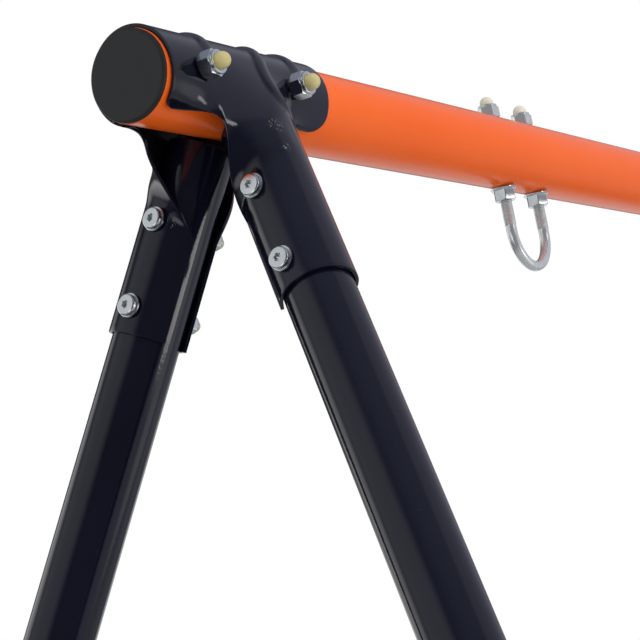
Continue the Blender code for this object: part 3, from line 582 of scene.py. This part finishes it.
def sleeve_point(near, drop, share):
    edge = web_edge(near, drop)
    distance = max(edge.length, SLEEVE_RADIUS * TANGENT_GAP)
    touch = math.atan2(edge.y, edge.x) + math.acos(SLEEVE_RADIUS / distance)
    arc = max(math.pi / 2.0 - touch, 0.0)
    straight = math.sqrt(distance ** 2 - SLEEVE_RADIUS ** 2)
    run = share * (SLEEVE_RADIUS * arc + straight)
    if run <= SLEEVE_RADIUS * arc:
        turn = math.pi / 2.0 - run / SLEEVE_RADIUS
        point = Vector((math.cos(turn), math.sin(turn))) * SLEEVE_RADIUS
    else:
        corner = Vector((math.cos(touch), math.sin(touch))) * SLEEVE_RADIUS
        if arc == 0.0:
            corner = Vector((0.0, SLEEVE_RADIUS))
        length = (edge - corner).length
        point = corner + (edge - corner) * (run - SLEEVE_RADIUS * arc) / length
    if near:
        rise, full, fall, end = BULGE_DROPS
        swell = smooth((drop - rise) / (full - rise)) * smooth((end - drop) / (end - fall))
        point += point.normalized() * BULGE * swell * math.sin(math.pi * share)
    top_x = mix(LEG_INSET, WEB_FRONT if near else WEB_REAR, share)
    ridge = bead_height(1, top_x, mix(1.0, RIDGE_END_SLANT, smooth(drop / RIDGE_FADE[1]) ** 2))
    point += point.normalized() * ridge * (1.0 - smooth((drop - RIDGE_FADE[0]) / RIDGE_FADE[1]))
    rise = LEG_OFFSET - (SADDLE_RADIUS - SLEEVE_RADIUS)
    ease = rise * (1.0 - smooth(drop / WEB_DROP_FRONT)) * (1.0 - share)
    squaring = smooth((drop - WEB_DROP_FRONT) / (SLEEVE_END - WEB_DROP_FRONT))
    sign = -1.0 if near else 1.0
    drop += sign * math.sin(LEG_SPLAY) * point.x * squaring
    point.x -= pressed_flat(point, drop)
    x = axis_x(drop) + sign * point.x / math.cos(LEG_SPLAY)
    return Vector((x, drop, point.y + LEG_OFFSET - ease))


def pressed_flat(point, drop):
    """How far the flat round a leg bolt pushes the sheet in, towards the tube."""
    push = max(point.x - SLEEVE_RADIUS, 0.0)
    away = math.hypot(length_of(drop - LEG_BOLT_STATIONS[0]), point.y)
    return push * smooth((BOSS_RADIUS + BOSS_EDGE - away) / BOSS_EDGE)


def wing_point(x, level, near):
    start = math.pi / 2.0 - LEG_LEAN
    web = WEB_FRONT if near else WEB_REAR
    outer = SADDLE_FRONT if near else SADDLE_FRONT + SADDLE_LENGTH
    share = (x - outer) / (web - outer)
    wrap = FRONT_WRAP
    if not near:
        wrap = REAR_WRAP - WING_FLARE * (1.0 - smooth((1.0 - share) * WING_FLARE_START))
    turn = mix(start, wrap, level)
    drop = (WEB_DROP_FRONT if near else WEB_DROP_REAR) * level
    pull = sleeve_point(near, drop, 1.0) - saddle_point(web, turn)
    across = pull.y * math.sin(LEG_LEAN) + pull.z * math.cos(LEG_LEAN)
    down = pull.y * math.cos(LEG_LEAN) - pull.z * math.sin(LEG_LEAN)
    eases = NEAR_PULL_EASES if near else FAR_PULL_EASES
    across *= share ** eases[0]
    down *= share ** eases[1]
    pull = Vector((pull.x * share ** 2.0,
                   across * math.sin(LEG_LEAN) + down * math.cos(LEG_LEAN),
                   across * math.cos(LEG_LEAN) - down * math.sin(LEG_LEAN)))
    return saddle_point(x, turn) + pull


def rounding(level, radius):
    """How far a wing's lower corner is rounded back at a level."""
    depth = SADDLE_RADIUS * (FRONT_WRAP - math.pi / 2.0 + LEG_LEAN)
    share = max(1.0 - (1.0 - level) * depth / radius, 0.0)
    return radius * (1.0 - math.sqrt(1.0 - share ** 2))


def sheet_point(row, column, xs):
    side = -1.0 if row < 0 else 1.0
    step = abs(row)
    web_near = FRONT_COLUMNS
    web_far = FRONT_COLUMNS + 2 * HALF_COLUMNS
    x = xs[column]
    level = 0.0
    if step <= SADDLE_ROWS:
        point = saddle_point(x, (math.pi / 2.0 - LEG_LEAN) * step / SADDLE_ROWS)
    else:
        below = step - SADDLE_ROWS
        level = 1.0 - max(1.0 - below / WING_ROWS, 0.0) ** WING_CROWDING
        if column < web_near:
            point = wing_point(x, level, True)
        elif column > web_far:
            point = wing_point(x, level, False)
        else:
            near = column <= web_near + HALF_COLUMNS
            share = abs(column - web_near - HALF_COLUMNS) / HALF_COLUMNS
            top = mix(WEB_DROP_FRONT, WEB_DROP_REAR, 0.0 if near else share)
            drop = level * top
            if below > WING_ROWS:
                run = ((below - WING_ROWS) / SLEEVE_ROWS) ** SLEEVE_CROWDING
                drop = mix(top, SLEEVE_END, run)
            point = sleeve_point(near, drop, share)
    if column < web_near:
        reach = (WEB_FRONT - x) / (WEB_FRONT - SADDLE_FRONT)
        point.x += reach * (FRONT_TAPER * level + rounding(level, FRONT_ROUNDING))
    elif column > web_far:
        reach = (x - WEB_REAR) / (SADDLE_FRONT + SADDLE_LENGTH - WEB_REAR)
        point.x -= reach * (REAR_TAPER * level + rounding(level, REAR_ROUNDING))
    return from_slope(side, point.x, point.y, point.z)


def add_bracket(end, label):
    """One pressed sheet over the beam and down into both leg sleeves, with its cut edges rounded.
    """
    xs = column_positions()
    rows = SADDLE_ROWS + WING_ROWS + SLEEVE_ROWS
    bm = bmesh.new()
    bmesh.ops.create_grid(bm, x_segments=len(xs) - 1, y_segments=2 * rows, size=1.0)
    web_far = FRONT_COLUMNS + 2 * HALF_COLUMNS
    waste = []
    for vert in bm.verts:
        column = round((vert.co.x + 1.0) / 2.0 * (len(xs) - 1))
        row = round(vert.co.y * rows)
        if abs(row) > SADDLE_ROWS + WING_ROWS and not FRONT_COLUMNS <= column <= web_far:
            waste.append(vert)
        vert.co = end_matrix(end) @ sheet_point(row, column, xs)
    bmesh.ops.delete(bm, geom=waste, context="VERTS")
    bm.normal_update()
    top = max(bm.faces, key=lambda face: face.calc_center_median().z)
    if top.normal.z < 0.0:
        bmesh.ops.reverse_faces(bm, faces=bm.faces)
    item = add_piece("bracket_" + label, as_mesh("bracket_" + label, bm), NAVY_COAT,
                     ["saddle_bracket_" + label], 80.0)
    item.data.materials.append(NAVY_INSIDE)
    wall = item.modifiers.new("wall", "SOLIDIFY")
    wall.material_offset = 1
    wall.thickness = SHEET
    wall.offset = -1.0
    wall.use_even_offset = True
    edge = item.modifiers.new("edge", "BEVEL")
    edge.width = SHEARED_EDGE
    edge.segments = 3
    edge.limit_method = "ANGLE"
    edge.angle_limit = math.radians(50.0)


# Tubes

def add_crossbeam():
    """The beam: a drawn steel tube with sawn, deburred ends."""
    half = BEAM_LENGTH / 2.0
    inner = BEAM_RADIUS - BEAM_WALL
    soft = 0.0004
    end_ring = half - 0.02
    wall = [(BEAM_RADIUS - soft, -half), (BEAM_RADIUS, -half + soft), (BEAM_RADIUS, -end_ring)]
    wall += [(BEAM_RADIUS, mix(-half, half, k / 40.0)) for k in range(1, 40)]
    wall += [(BEAM_RADIUS, end_ring), (BEAM_RADIUS, half - soft), (BEAM_RADIUS - soft, half),
             (inner, half), (inner, -half)]
    place = Matrix.Translation((0.0, 0.0, BEAM_HEIGHT)) @ ALONG_BEAM
    finish("beam_tube", loft(ring_walk(wall), BEAM_SIDES, matrix=place), ORANGE_COAT,
           ["crossbeam"])


def add_cap(end, label):
    """Push-in cap: a flat face, a rounded rim and a plug inside the tube."""
    plug = BEAM_RADIUS - BEAM_WALL - SEAT
    rim = BEAM_RADIUS - SEAT
    face = -CAP_FACE - SEAT
    rings = [(0.0, face), (rim * 0.90, face)]
    for step in range(9):
        turn = math.pi / 2.0 * step / 8.0
        rings.append((rim - CAP_ROUNDING + CAP_ROUNDING * math.sin(turn),
                      face + CAP_ROUNDING * (1.0 - math.cos(turn))))
    rings += [(rim, -SEAT), (plug, -SEAT), (plug, CAP_PLUG), (plug - CAP_WALL, CAP_PLUG),
              (plug - CAP_WALL, CAP_WALL), (0.0, CAP_WALL)]
    place = end_matrix(end) @ ALONG_BEAM
    finish("cap_" + label, loft(rings, BEAM_SIDES, matrix=place), CAP_BLACK,
           ["end_cap_" + label])


def add_leg(end, side, label):
    """One leg: the upper tube, and the lower tube with its drawn-in spigot."""
    inner = LEG_RADIUS - LEG_WALL
    soft = 0.0003
    length = length_of(LEG_JOINT - LEG_TOP)
    wall = [(inner, 0.0), (LEG_RADIUS - soft, 0.0), (LEG_RADIUS, soft)]
    wall += [(LEG_RADIUS, length * k / 16.0) for k in range(1, 16)]
    wall += [(LEG_RADIUS, length - soft), (LEG_RADIUS - soft, length), (inner, length)]
    place = end_matrix(end) @ leg_matrix(side, LEG_TOP)
    finish("upper_tube_" + label, loft(ring_walk(wall), LEG_SIDES, matrix=place), NAVY_COAT,
           ["upper_leg_" + label])
    spigot = inner - SPIGOT_CLEARANCE
    neck = LEG_RADIUS - spigot
    length = length_of(tube_end_drop() - LEG_JOINT)
    wall = [(spigot - LEG_WALL, -SPIGOT_LENGTH), (spigot - soft, -SPIGOT_LENGTH),
            (spigot, -SPIGOT_LENGTH + soft), (spigot, SEAT)]
    for step in range(1, 6):
        share = smooth(step / 6.0)
        wall.append((mix(spigot, LEG_RADIUS, share), SEAT + neck * step / 6.0))
    wall += [(LEG_RADIUS, SEAT + neck + length * k / 16.0) for k in range(16)]
    wall += [(LEG_RADIUS, length), (inner, length), (inner, SEAT + 2.0 * neck),
             (spigot - LEG_WALL, SEAT + neck)]
    place = end_matrix(end) @ leg_matrix(side, LEG_JOINT)
    finish("lower_tube_" + label, loft(ring_walk(wall), LEG_SIDES, matrix=place), NAVY_COAT,
           ["lower_leg_" + label])


def add_crossbar(end, label):
    """The bar between two legs: a round tube pressed flat at its ends."""
    near = leg_point(1, joint_drop())
    half = near.y + BAR_FLAT / 2.0
    reach = half - BAR_FLAT - BAR_NECK
    flat = BAR_PRESSED / 2.0 / BAR_RADIUS
    spread = (math.pi - 2.0 * flat) / 2.0
    stations = [0.0, 0.0003, BAR_FLAT / 2.0]
    stations += [BAR_FLAT + BAR_NECK * k / 16.0 for k in range(17)]
    stations += [half - reach * k / 8.0 for k in range(7, 0, -1)] + [half]
    rows = [value - half for value in stations]
    rows += [half - value for value in reversed(stations[:-1])]
    bm = loft([(0.0, -half)] + [(BAR_RADIUS, z) for z in rows] + [(0.0, half)],
              BAR_SIDES)
    for vert in bm.verts:
        share = smooth((abs(vert.co.z) - reach) / BAR_NECK)
        last = smooth((abs(vert.co.z) - half + BAR_CORNER) / BAR_CORNER)
        corner = 1.0 - BAR_CORNER_NARROWING * last ** 2
        vert.co.x *= mix(1.0, flat, share)
        vert.co.y *= mix(1.0, spread, share) * corner
    inwards = Vector((math.cos(LEG_SPLAY), 0.0, -math.sin(LEG_SPLAY)))
    centre = Vector((near.x, 0.0, near.z)) + inwards * (LEG_RADIUS + 2.0 * SEAT + BAR_PRESSED / 2.0)
    place = end_matrix(end) @ frame_at(centre, (0.0, 1.0, 0.0), inwards)
    bmesh.ops.transform(bm, matrix=place, verts=bm.verts)
    finish("cross_tube_" + label, bm, NAVY_COAT, ["crossbar_" + label])


def add_foot(end, side, label):
    """A moulded boot with a rolled top lip on a round level pad."""
    bore = LEG_RADIUS + SEAT
    outer = bore + FOOT_WALL
    lip = outer + FOOT_LIP
    skirt = outer + FOOT_DRAFT
    below = FOOT_LENGTH + 0.03
    start = length_of(ground_drop()) - FOOT_LENGTH
    top = length_of(tube_end_drop()) - start
    place = end_matrix(end) @ leg_matrix(side, start * math.cos(LEG_SPLAY))
    rings = [(0.0, top + SEAT), (bore, top + SEAT), (bore, 0.0008), (bore + 0.0008, 0.0),
             (outer, 0.0), (lip, FOOT_LIP), (lip, FOOT_LIP_END), (outer, FOOT_LIP_END + FOOT_LIP),
             (outer, 0.030), (skirt, FOOT_LENGTH), (skirt, below), (0.0, below)]
    bm = loft(rings, LEG_SIDES, matrix=place)
    bmesh.ops.remove_doubles(bm, verts=bm.verts, dist=2e-6)
    cut = bmesh.ops.bisect_plane(bm, geom=bm.verts[:] + bm.edges[:] + bm.faces[:],
                                 plane_co=(0.0, 0.0, FOOT_PAD_HEIGHT / 3.0),
                                 plane_no=(0.0, 0.0, -1.0), clear_outer=True)
    rim = [item for item in cut["geom_cut"] if isinstance(item, bmesh.types.BMEdge)]
    bmesh.ops.contextual_create(bm, geom=rim)
    ground = end_matrix(end) @ leg_point(side, ground_drop())
    pad = [(0.0, 0.0), (FOOT_PAD_RADIUS - 0.001, 0.0), (FOOT_PAD_RADIUS, 0.001),
           (FOOT_PAD_RADIUS, FOOT_PAD_HEIGHT * 0.55),
           (FOOT_PAD_RADIUS - 0.0012, FOOT_PAD_HEIGHT * 0.85),
           (FOOT_PAD_RADIUS * 0.90, FOOT_PAD_HEIGHT), (0.0, FOOT_PAD_HEIGHT)]
    loft(pad, LEG_SIDES, bm, Matrix.Translation((ground.x, ground.y, 0.0)))
    finish("boot_" + label, bm, FOOT_BLACK, ["foot_" + label])


# Fasteners: each is turned about Z and stands on its seat at zero.
HEX_SIDES = 144
HEX_CORNER = 0.0006
HEX_FACE_RATIO = 0.985
HEX_CHAMFER = math.tan(math.radians(30.0))
NUT_TURN = math.radians(20.0)
CROWN_ROLL_RATIO = 0.14
CROWN_MOUTH = (1.05, 1.03)
WAIST_RATIO = 0.10
FLANGE_BORE_RATIO = 1.04


def hexagon(flat):
    """Radius of a round-cornered hexagon with that half width across flats, by the angle."""
    reach = (flat - HEX_CORNER) / math.cos(math.pi / 6.0)

    def radius(turn):
        away = abs((turn + math.pi / 6.0) % (math.pi / 3.0) - math.pi / 6.0)
        side = reach * math.sin(math.pi / 6.0 - away)
        if side >= HEX_CORNER / 2.0:
            return flat / math.cos(away)
        return reach * math.cos(math.pi / 6.0 - away) + math.sqrt(HEX_CORNER ** 2 - side ** 2)
    return radius


def chamfered(flat, base, sign):
    """Height of a hexagon's end where a 30 degree cone has taken its corners off."""
    outline = hexagon(flat)

    def height(turn):
        return base - sign * max(outline(turn) - flat * HEX_FACE_RATIO, 0.0) * HEX_CHAMFER
    return height


def half_flats(bolt):
    """Half the width across flats of the nut for a bolt."""
    return bolt * NUT_RATIO * math.cos(math.pi / 6.0)


def hex_stations(flat, base, top):
    outline = hexagon(flat)
    face = flat * HEX_FACE_RATIO
    return [(face, base), (outline, chamfered(flat, base, -1.0)),
            (outline, chamfered(flat, top, 1.0)), (face, top)]


def add_lock_nut(name, place, bolt, node, metal=ZINC, plastic=COVER_BEIGE):
    """Nylon-insert lock nut with its rolled crown, and the moulded cover pressed over the bolt."""
    flat = half_flats(bolt)
    top = bolt * NUT_HEIGHT_RATIO
    collar = bolt * COLLAR_RATIO
    ledge = top + bolt * COLLAR_HEIGHT_RATIO
    dome = bolt * DOME_RATIO
    bore = bolt * BORE_RATIO
    roll = bolt * CROWN_ROLL_RATIO
    waist = bolt * WAIST_RATIO
    rings = [(bore, 0.0)] + hex_stations(flat, 0.0, top)
    rings += [(collar, top), (collar - waist, top + waist * 0.4), (collar - waist, top + waist),
              (collar, top + waist * 1.7), (collar, ledge - roll)]
    for step in range(1, 5):
        turn = math.pi / 2.0 * step / 4.0
        rings.append((collar - roll + roll * math.cos(turn), ledge - roll + roll * math.sin(turn)))
    rings += [(dome * CROWN_MOUTH[0], ledge), (dome * CROWN_MOUTH[1], ledge - roll),
              (bore, ledge - roll)]
    turned = place @ Matrix.Rotation(NUT_TURN, 4, "Z")
    finish("nut_" + name, loft(ring_walk(rings), HEX_SIDES, matrix=turned), metal, [node],
           32.0)
    stand = bolt * DOME_STAND_RATIO
    rings = [(0.0, ledge - roll), (dome, ledge - roll), (dome, ledge + stand * 0.6)]
    for step in range(10):
        turn = math.pi / 2.0 * step / 9.0
        rings.append((dome * math.cos(turn), ledge + stand + dome * math.sin(turn)))
    finish("cover_" + name, loft(rings, COVER_SIDES, matrix=place), plastic, (), 60.0)


def add_flange_nut(name, place, bolt, node):
    """Flanged nut: a hexagon on a conical flange, chamfered at its free end."""
    flat = half_flats(bolt)
    top = FLANGE_HEIGHT + bolt * NUT_HEIGHT_RATIO
    outer = bolt * FLANGE_RATIO
    bore = bolt * FLANGE_BORE_RATIO
    outline = hexagon(flat)
    rings = [(bore, 0.0), (outer - 0.0004, 0.0), (outer, 0.0004), (outer, FLANGE_HEIGHT * 0.55),
             (outer - 0.0003, FLANGE_HEIGHT * 0.70),
             (lambda turn: outline(turn) + 0.0002, FLANGE_HEIGHT * 1.25),
             (outline, FLANGE_HEIGHT * 1.6), (outline, chamfered(flat, top, 1.0)),
             (flat * HEX_FACE_RATIO, top), (bore + 0.0006, top), (bore, top - 0.0006)]
    finish("flange_" + name, loft(ring_walk(rings), HEX_SIDES, matrix=place), ZINC, [node],
           32.0)


def lobed(radius, depth):
    """Outline of a six-lobe drive recess."""
    def outline(turn):
        return radius - depth * (0.5 - 0.5 * math.cos(6.0 * turn)) ** 0.8
    return outline


def head_stations(bolt):
    """A low button head with a six-lobe recess, and the washer under it, below zero."""
    head = bolt * HEAD_RATIO
    washer = bolt * WASHER_RATIO
    face = -WASHER_HEIGHT - HEAD_HEIGHT
    bottom = face + RECESS_DEPTH
    lobe = bolt * LOBE_RATIO
    rings = [(0.0, bottom), (lobed(lobe * 0.92, lobe * 0.22), bottom),
             (lobed(lobe, lobe * 0.24), face + 0.0002), (lobed(lobe * 1.06, lobe * 0.24), face),
             (head * HEAD_FLAT, face)]
    for step in range(1, 7):
        turn = math.pi / 2.0 * step / 6.0
        rings.append((head * mix(HEAD_FLAT, 1.0, math.sin(turn)),
                      face + HEAD_HEIGHT * 0.34 * (1.0 - math.cos(turn))))
    rings += [(head, -WASHER_HEIGHT - 0.0004), (head - 0.0004, -WASHER_HEIGHT),
              (washer - 0.0003, -WASHER_HEIGHT), (washer, -WASHER_HEIGHT + 0.0003),
              (washer, -0.0002), (washer - 0.0002, 0.0)]
    return rings


def add_bolt(name, place, bolt, grip, node, nut=False):
    """A bolt through its grip; with nut, a plain hexagon is run on behind the grip."""
    tip = grip + bolt * (NUT_HEIGHT_RATIO + COLLAR_HEIGHT_RATIO * 0.5)
    rings = head_stations(bolt) + [(bolt, 0.0)]
    if nut:
        flat = half_flats(bolt)
        rings += [(bolt, grip)] + hex_stations(flat, grip, grip + bolt * NUT_HEIGHT_RATIO)
        rings += [(bolt, grip + bolt * NUT_HEIGHT_RATIO)]
    rings += [(bolt, tip - 0.0006), (bolt - 0.0006, tip), (0.0, tip)]
    finish("bolt_" + name, loft(rings, BOLT_SIDES, matrix=place), ZINC, [node], 30.0)


def thread(height):
    """Radius of the rolled thread at one height, by the angle: a helix of round-edged V's."""
    def radius(turn):
        phase = (height / THREAD_PITCH - turn / math.tau) % 1.0
        return HANGER_THREAD - THREAD_DEPTH * abs(2.0 * phase - 1.0) ** 1.2
    return radius


def add_hanger(end, label):
    """The U-bolt: rolled thread on both straight legs, plain bright wire round the bend."""
    half = HANGER_SPAN / 2.0
    bend = HANGER_DROP - half
    top = BEAM_RADIUS + HANGER_THREAD * (NUT_HEIGHT_RATIO + COLLAR_HEIGHT_RATIO * 0.5)
    nut_foot = -BEAM_RADIUS
    rings = [(0.0, top), (HANGER_THREAD - 0.0008, top), (HANGER_THREAD - 0.0004, top - 0.0004),
             (HANGER_THREAD - 0.0004, nut_foot + 0.002)]
    count = int((nut_foot + HANGER_THREAD_END) / THREAD_PITCH * 6.0)
    for step in range(count + 1):
        height = nut_foot - step * THREAD_PITCH / 6.0
        rings.append((thread(height), height))
    rings += [(HANGER_WIRE, -HANGER_THREAD_END - 0.0012), (HANGER_WIRE, -bend)]
    middle = end_matrix(end) @ Matrix.Translation((HANGER_INSET, 0.0, 0.0))
    whole = bmesh.new()
    for turn in (0.0, math.pi):
        bm = loft(rings, WIRE_SIDES)
        last = [edge for edge in bm.edges if len(edge.link_faces) == 1
                and all(abs(vert.co.z + bend) < 1e-6 for vert in edge.verts)]
        geometry = list({vert for edge in last for vert in edge.verts}) + last
        bmesh.ops.spin(bm, geom=geometry, cent=(half, 0.0, -bend), axis=(0.0, -1.0, 0.0),
                       angle=math.pi / 2.0, steps=BEND_STEPS)
        bmesh.ops.transform(bm, matrix=Matrix.Translation((-half, 0.0, 0.0)), verts=bm.verts)
        bmesh.ops.transform(bm, matrix=middle @ Matrix.Rotation(turn, 4, "Z"), verts=bm.verts)
        part = as_mesh("hanger_half", bm)
        whole.from_mesh(part)
        bpy.data.meshes.remove(part)
    finish("hanger_" + label, whole, ZINC_WIRE, ["u_bolt_" + label], 50.0)
    flip = Matrix.Rotation(math.pi, 4, "X")
    for leg, which in ((-1, "outer"), (1, "inner")):
        at = middle @ Matrix.Translation((leg * half, 0.0, 0.0))
        # Their covers take the paler cover plastic, whose tone is painted backlight.
        add_lock_nut(f"hanger_{label}_{which}", raised(at, BEAM_RADIUS + SEAT),
                     HANGER_THREAD, f"hanger_lock_nut_{label}_{which}", ZINC_WIRE, COVER_PAINTED_BACKLIGHT)
        add_flange_nut(f"hanger_{label}_{which}",
                       raised(at, -BEAM_RADIUS - SEAT) @ flip,
                       HANGER_THREAD, f"hanger_flange_nut_{label}_{which}")


def add_end(end, label):
    """Everything that is fixed to one end of the beam."""
    place = end_matrix(end)
    add_cap(end, label)
    add_bracket(end, label)
    seat = SADDLE_RADIUS + BOLT_SEAT
    for inset, which in zip(BEAM_BOLT_INSETS, ("outer", "inner")):
        at = place @ beam_bolt_matrix(inset)
        name = f"beam_{label}_{which}"
        add_bolt(name, raised(at, -seat), BEAM_BOLT, 2.0 * seat,
                 f"beam_bolt_{label}_{which}")
        add_lock_nut(name, raised(at, seat), BEAM_BOLT,
                     f"beam_nut_{label}_{which}")
    seat = SLEEVE_RADIUS + BOLT_SEAT
    for side, where in ((end, "front"), (-end, "back")):
        for drop, which in zip(LEG_BOLT_STATIONS, ("upper", "lower")):
            at = place @ leg_bolt_matrix(side, drop)
            name = f"leg_{label}_{where}_{which}"
            add_bolt(name, raised(at, -seat), LEG_BOLT, 2.0 * seat,
                     f"leg_bolt_{label}_{where}_{which}")
            add_lock_nut(name, raised(at, seat), LEG_BOLT,
                         f"leg_nut_{label}_{where}_{which}")
        add_leg(end, side, f"{label}_{where}")
        inwards = (math.cos(LEG_SPLAY), 0.0, -math.sin(LEG_SPLAY))
        at = place @ frame_at(leg_point(side, joint_drop()), inwards, (0.0, 1.0, 0.0))
        grip = 2.0 * (LEG_RADIUS + SEAT) + BAR_PRESSED + 2.0 * SEAT
        add_bolt(f"joint_{label}_{where}", raised(at, -LEG_RADIUS - SEAT),
                 LEG_BOLT, grip, f"joint_bolt_{label}_{where}", True)
        add_foot(end, side, f"{label}_{where}")
    add_crossbar(end, label)
    add_hanger(end, label)


# Studio: the camera's place, lens and directions (right, up, ahead), fitted to the photograph
CAMERA_PLACE = (-1.98749, -0.64924, 1.47399)
CAMERA_LENS = 99.52
CAMERA_AXES = ((0.5575, -0.8110, -0.1771), (-0.0223, -0.2279, 0.9735), (0.8299, 0.5388, 0.1452))
# Lamps: name, place, target, size, power
LAMPS = (
    ("low_strip", (0.15, -2.6, 0.75), (-1.1, 0.0, 1.72), (0.9, 0.35), 3.6),
    ("side_lamp", (-0.55, -3.1, 2.5), (-1.1, 0.0, 1.75), (0.5, 0.5), 3.6),
)
FLOOR_HALF = 2.2


def add_camera():
    """The photograph's place: low beside the left end, looking up along the beam."""
    data = bpy.data.cameras.new("photo_camera")
    data.sensor_width = 36.0
    data.lens = CAMERA_LENS
    data.clip_start = 0.01
    data.clip_end = 60.0
    camera = add_object("photo_camera", data)
    right, up, ahead = (Vector(axis) for axis in CAMERA_AXES)
    turn = Matrix((right, up, -ahead)).transposed().to_4x4()
    camera.matrix_world = Matrix.Translation(CAMERA_PLACE) @ turn
    bpy.context.scene.camera = camera


def add_lamp(name, place, target, size, power):
    """A square softbox that faces its target."""
    data = bpy.data.lights.new(name, "AREA")
    data.shape = "RECTANGLE"
    data.size, data.size_y = size
    data.energy = power
    lamp = add_object(name, data)
    lamp.location = place
    lamp.rotation_euler = (Vector(target) - Vector(place)).to_track_quat("-Z", "Y").to_euler()


def add_floor():
    """A pale studio floor that keeps the frame's shadow; gloss sees it in the dim light that the
    room's lower half has."""
    bm = bmesh.new()
    bmesh.ops.create_grid(bm, x_segments=1, y_segments=1, size=FLOOR_HALF)
    bmesh.ops.transform(bm, matrix=Matrix.Translation((0.0, 0.0, -0.0005)), verts=bm.verts)
    mesh = as_mesh("studio_floor", bm)
    material, tree, shader = new_material("pale_studio_floor")
    place = add_node(tree, "ShaderNodeTexCoord").outputs["Object"]
    cloud = add_node(tree, "ShaderNodeTexNoise", {"Vector": place, "Scale": 2.0, "Detail": 4.0})
    tone = add_ramp(tree, cloud.outputs["Fac"], [(0.3, grey(0.60)), (0.7, grey(0.64))])
    path = add_node(tree, "ShaderNodeLightPath")
    seen = add_node(tree, "ShaderNodeMix", {0: path.outputs["Is Glossy Ray"], 6: tone,
                                            7: grey(0.30)}, data_type="RGBA")
    tree.links.new(seen.outputs[2], shader.inputs["Base Color"])
    shader.inputs["Roughness"].default_value = 0.7
    mesh.materials.append(material)
    add_object("studio_floor", mesh)


# What gloss sees of the studio: (azimuth, elevation, full within, gone beyond, top, colour)
PANELS = (
    (40.0, -16.0, 24.0, 40.0, 4.0, (0.85, 0.85, 0.86)),
    (88.0, 8.0, 12.0, 26.0, 36.0, (1.15, 1.15, 1.15)),
    (146.0, 18.0, 20.0, 46.0, 62.0, (0.56, 0.58, 0.61)),
    (-30.0, 20.0, 36.0, 52.0, 80.0, (0.41, 0.42, 0.50)),
    (-50.0, -20.0, 26.0, 50.0, 20.0, (0.42, 0.43, 0.50)),
    (-60.0, 75.0, 20.0, 70.0, 90.0, (0.24, 0.26, 0.33)),
    (172.0, -14.0, 8.0, 18.0, 6.0, (1.50, 1.50, 1.55)),
    (-50.0, -18.0, 6.0, 16.0, 2.0, (0.90, 0.90, 0.95)),
)
PANEL_EDGE = 10.0
ROOM = (0.060, 0.062, 0.075)
# The soft light's side, and its level away from it, across it and towards it
KEY_SIDE = (-0.05, -0.86, 0.50)
KEY_LEVELS = ((0.0, (0.30, 0.30, 0.31)), (0.5, (0.98, 0.98, 0.99)), (1.0, (1.68, 1.67, 1.64)))


def add_world():
    """White to the camera; softly edged panels in a dim room to gloss; even light to the rest."""
    world = bpy.data.worlds.new("studio")
    world.use_nodes = True
    bpy.context.scene.world = world
    tree = world.node_tree
    path = add_node(tree, "ShaderNodeLightPath")
    towards = add_node(tree, "ShaderNodeTexCoord").outputs["Generated"]
    room = add_node(tree, "ShaderNodeRGB").outputs[0]
    room.default_value = (*ROOM, 1.0)
    height = add_node(tree, "ShaderNodeSeparateXYZ", {"Vector": towards}).outputs["Z"]
    for azimuth, elevation, inner, outer, top, colour in PANELS:
        turn, lift = math.radians(azimuth), math.radians(elevation)
        centre = (math.cos(turn) * math.cos(lift), math.sin(turn) * math.cos(lift), math.sin(lift))
        facing = add_node(tree, "ShaderNodeVectorMath", {0: towards, 1: centre},
                          operation="DOT_PRODUCT").outputs["Value"]
        share = add_node(tree, "ShaderNodeMapRange",
                         {"Value": facing, "From Min": math.cos(math.radians(outer)),
                          "From Max": math.cos(math.radians(inner))},
                         interpolation_type="SMOOTHSTEP").outputs["Result"]
        below = add_node(tree, "ShaderNodeMapRange",
                         {"Value": height, "From Min": math.sin(math.radians(top)),
                          "From Max": math.sin(math.radians(top - PANEL_EDGE))},
                         interpolation_type="SMOOTHSTEP").outputs["Result"]
        share = add_node(tree, "ShaderNodeMath", {0: share, 1: below},
                         operation="MULTIPLY").outputs[0]
        room = add_node(tree, "ShaderNodeMix", {0: share, 6: room, 7: (*colour, 1.0)},
                        data_type="RGBA", blend_type="LIGHTEN").outputs[2]
    facing = add_node(tree, "ShaderNodeVectorMath", {0: towards, 1: KEY_SIDE},
                      operation="DOT_PRODUCT").outputs["Value"]
    share = add_node(tree, "ShaderNodeMapRange", {"Value": facing, "From Min": -1.0,
                                                  "From Max": 1.0}).outputs["Result"]
    even = add_ramp(tree, share, KEY_LEVELS)
    mirror = add_node(tree, "ShaderNodeMath", {0: path.outputs["Is Glossy Ray"],
                                               1: path.outputs["Is Transmission Ray"]},
                      operation="MAXIMUM").outputs[0]
    both = add_node(tree, "ShaderNodeMix", {0: mirror, 6: even, 7: room},
                    data_type="RGBA").outputs[2]
    seen = add_node(tree, "ShaderNodeMix", {0: path.outputs["Is Camera Ray"], 6: both,
                                            7: grey(1.0)}, data_type="RGBA").outputs[2]
    background = tree.nodes["Background"]
    tree.links.new(seen, background.inputs["Color"])
    background.inputs["Strength"].default_value = 1.0


add_crossbeam()
for end, label in ENDS:
    add_end(end, label)
add_camera()
add_floor()
add_world()
for lamp in LAMPS:
    add_lamp(*lamp)
bpy.context.scene.view_settings.view_transform = "Standard"
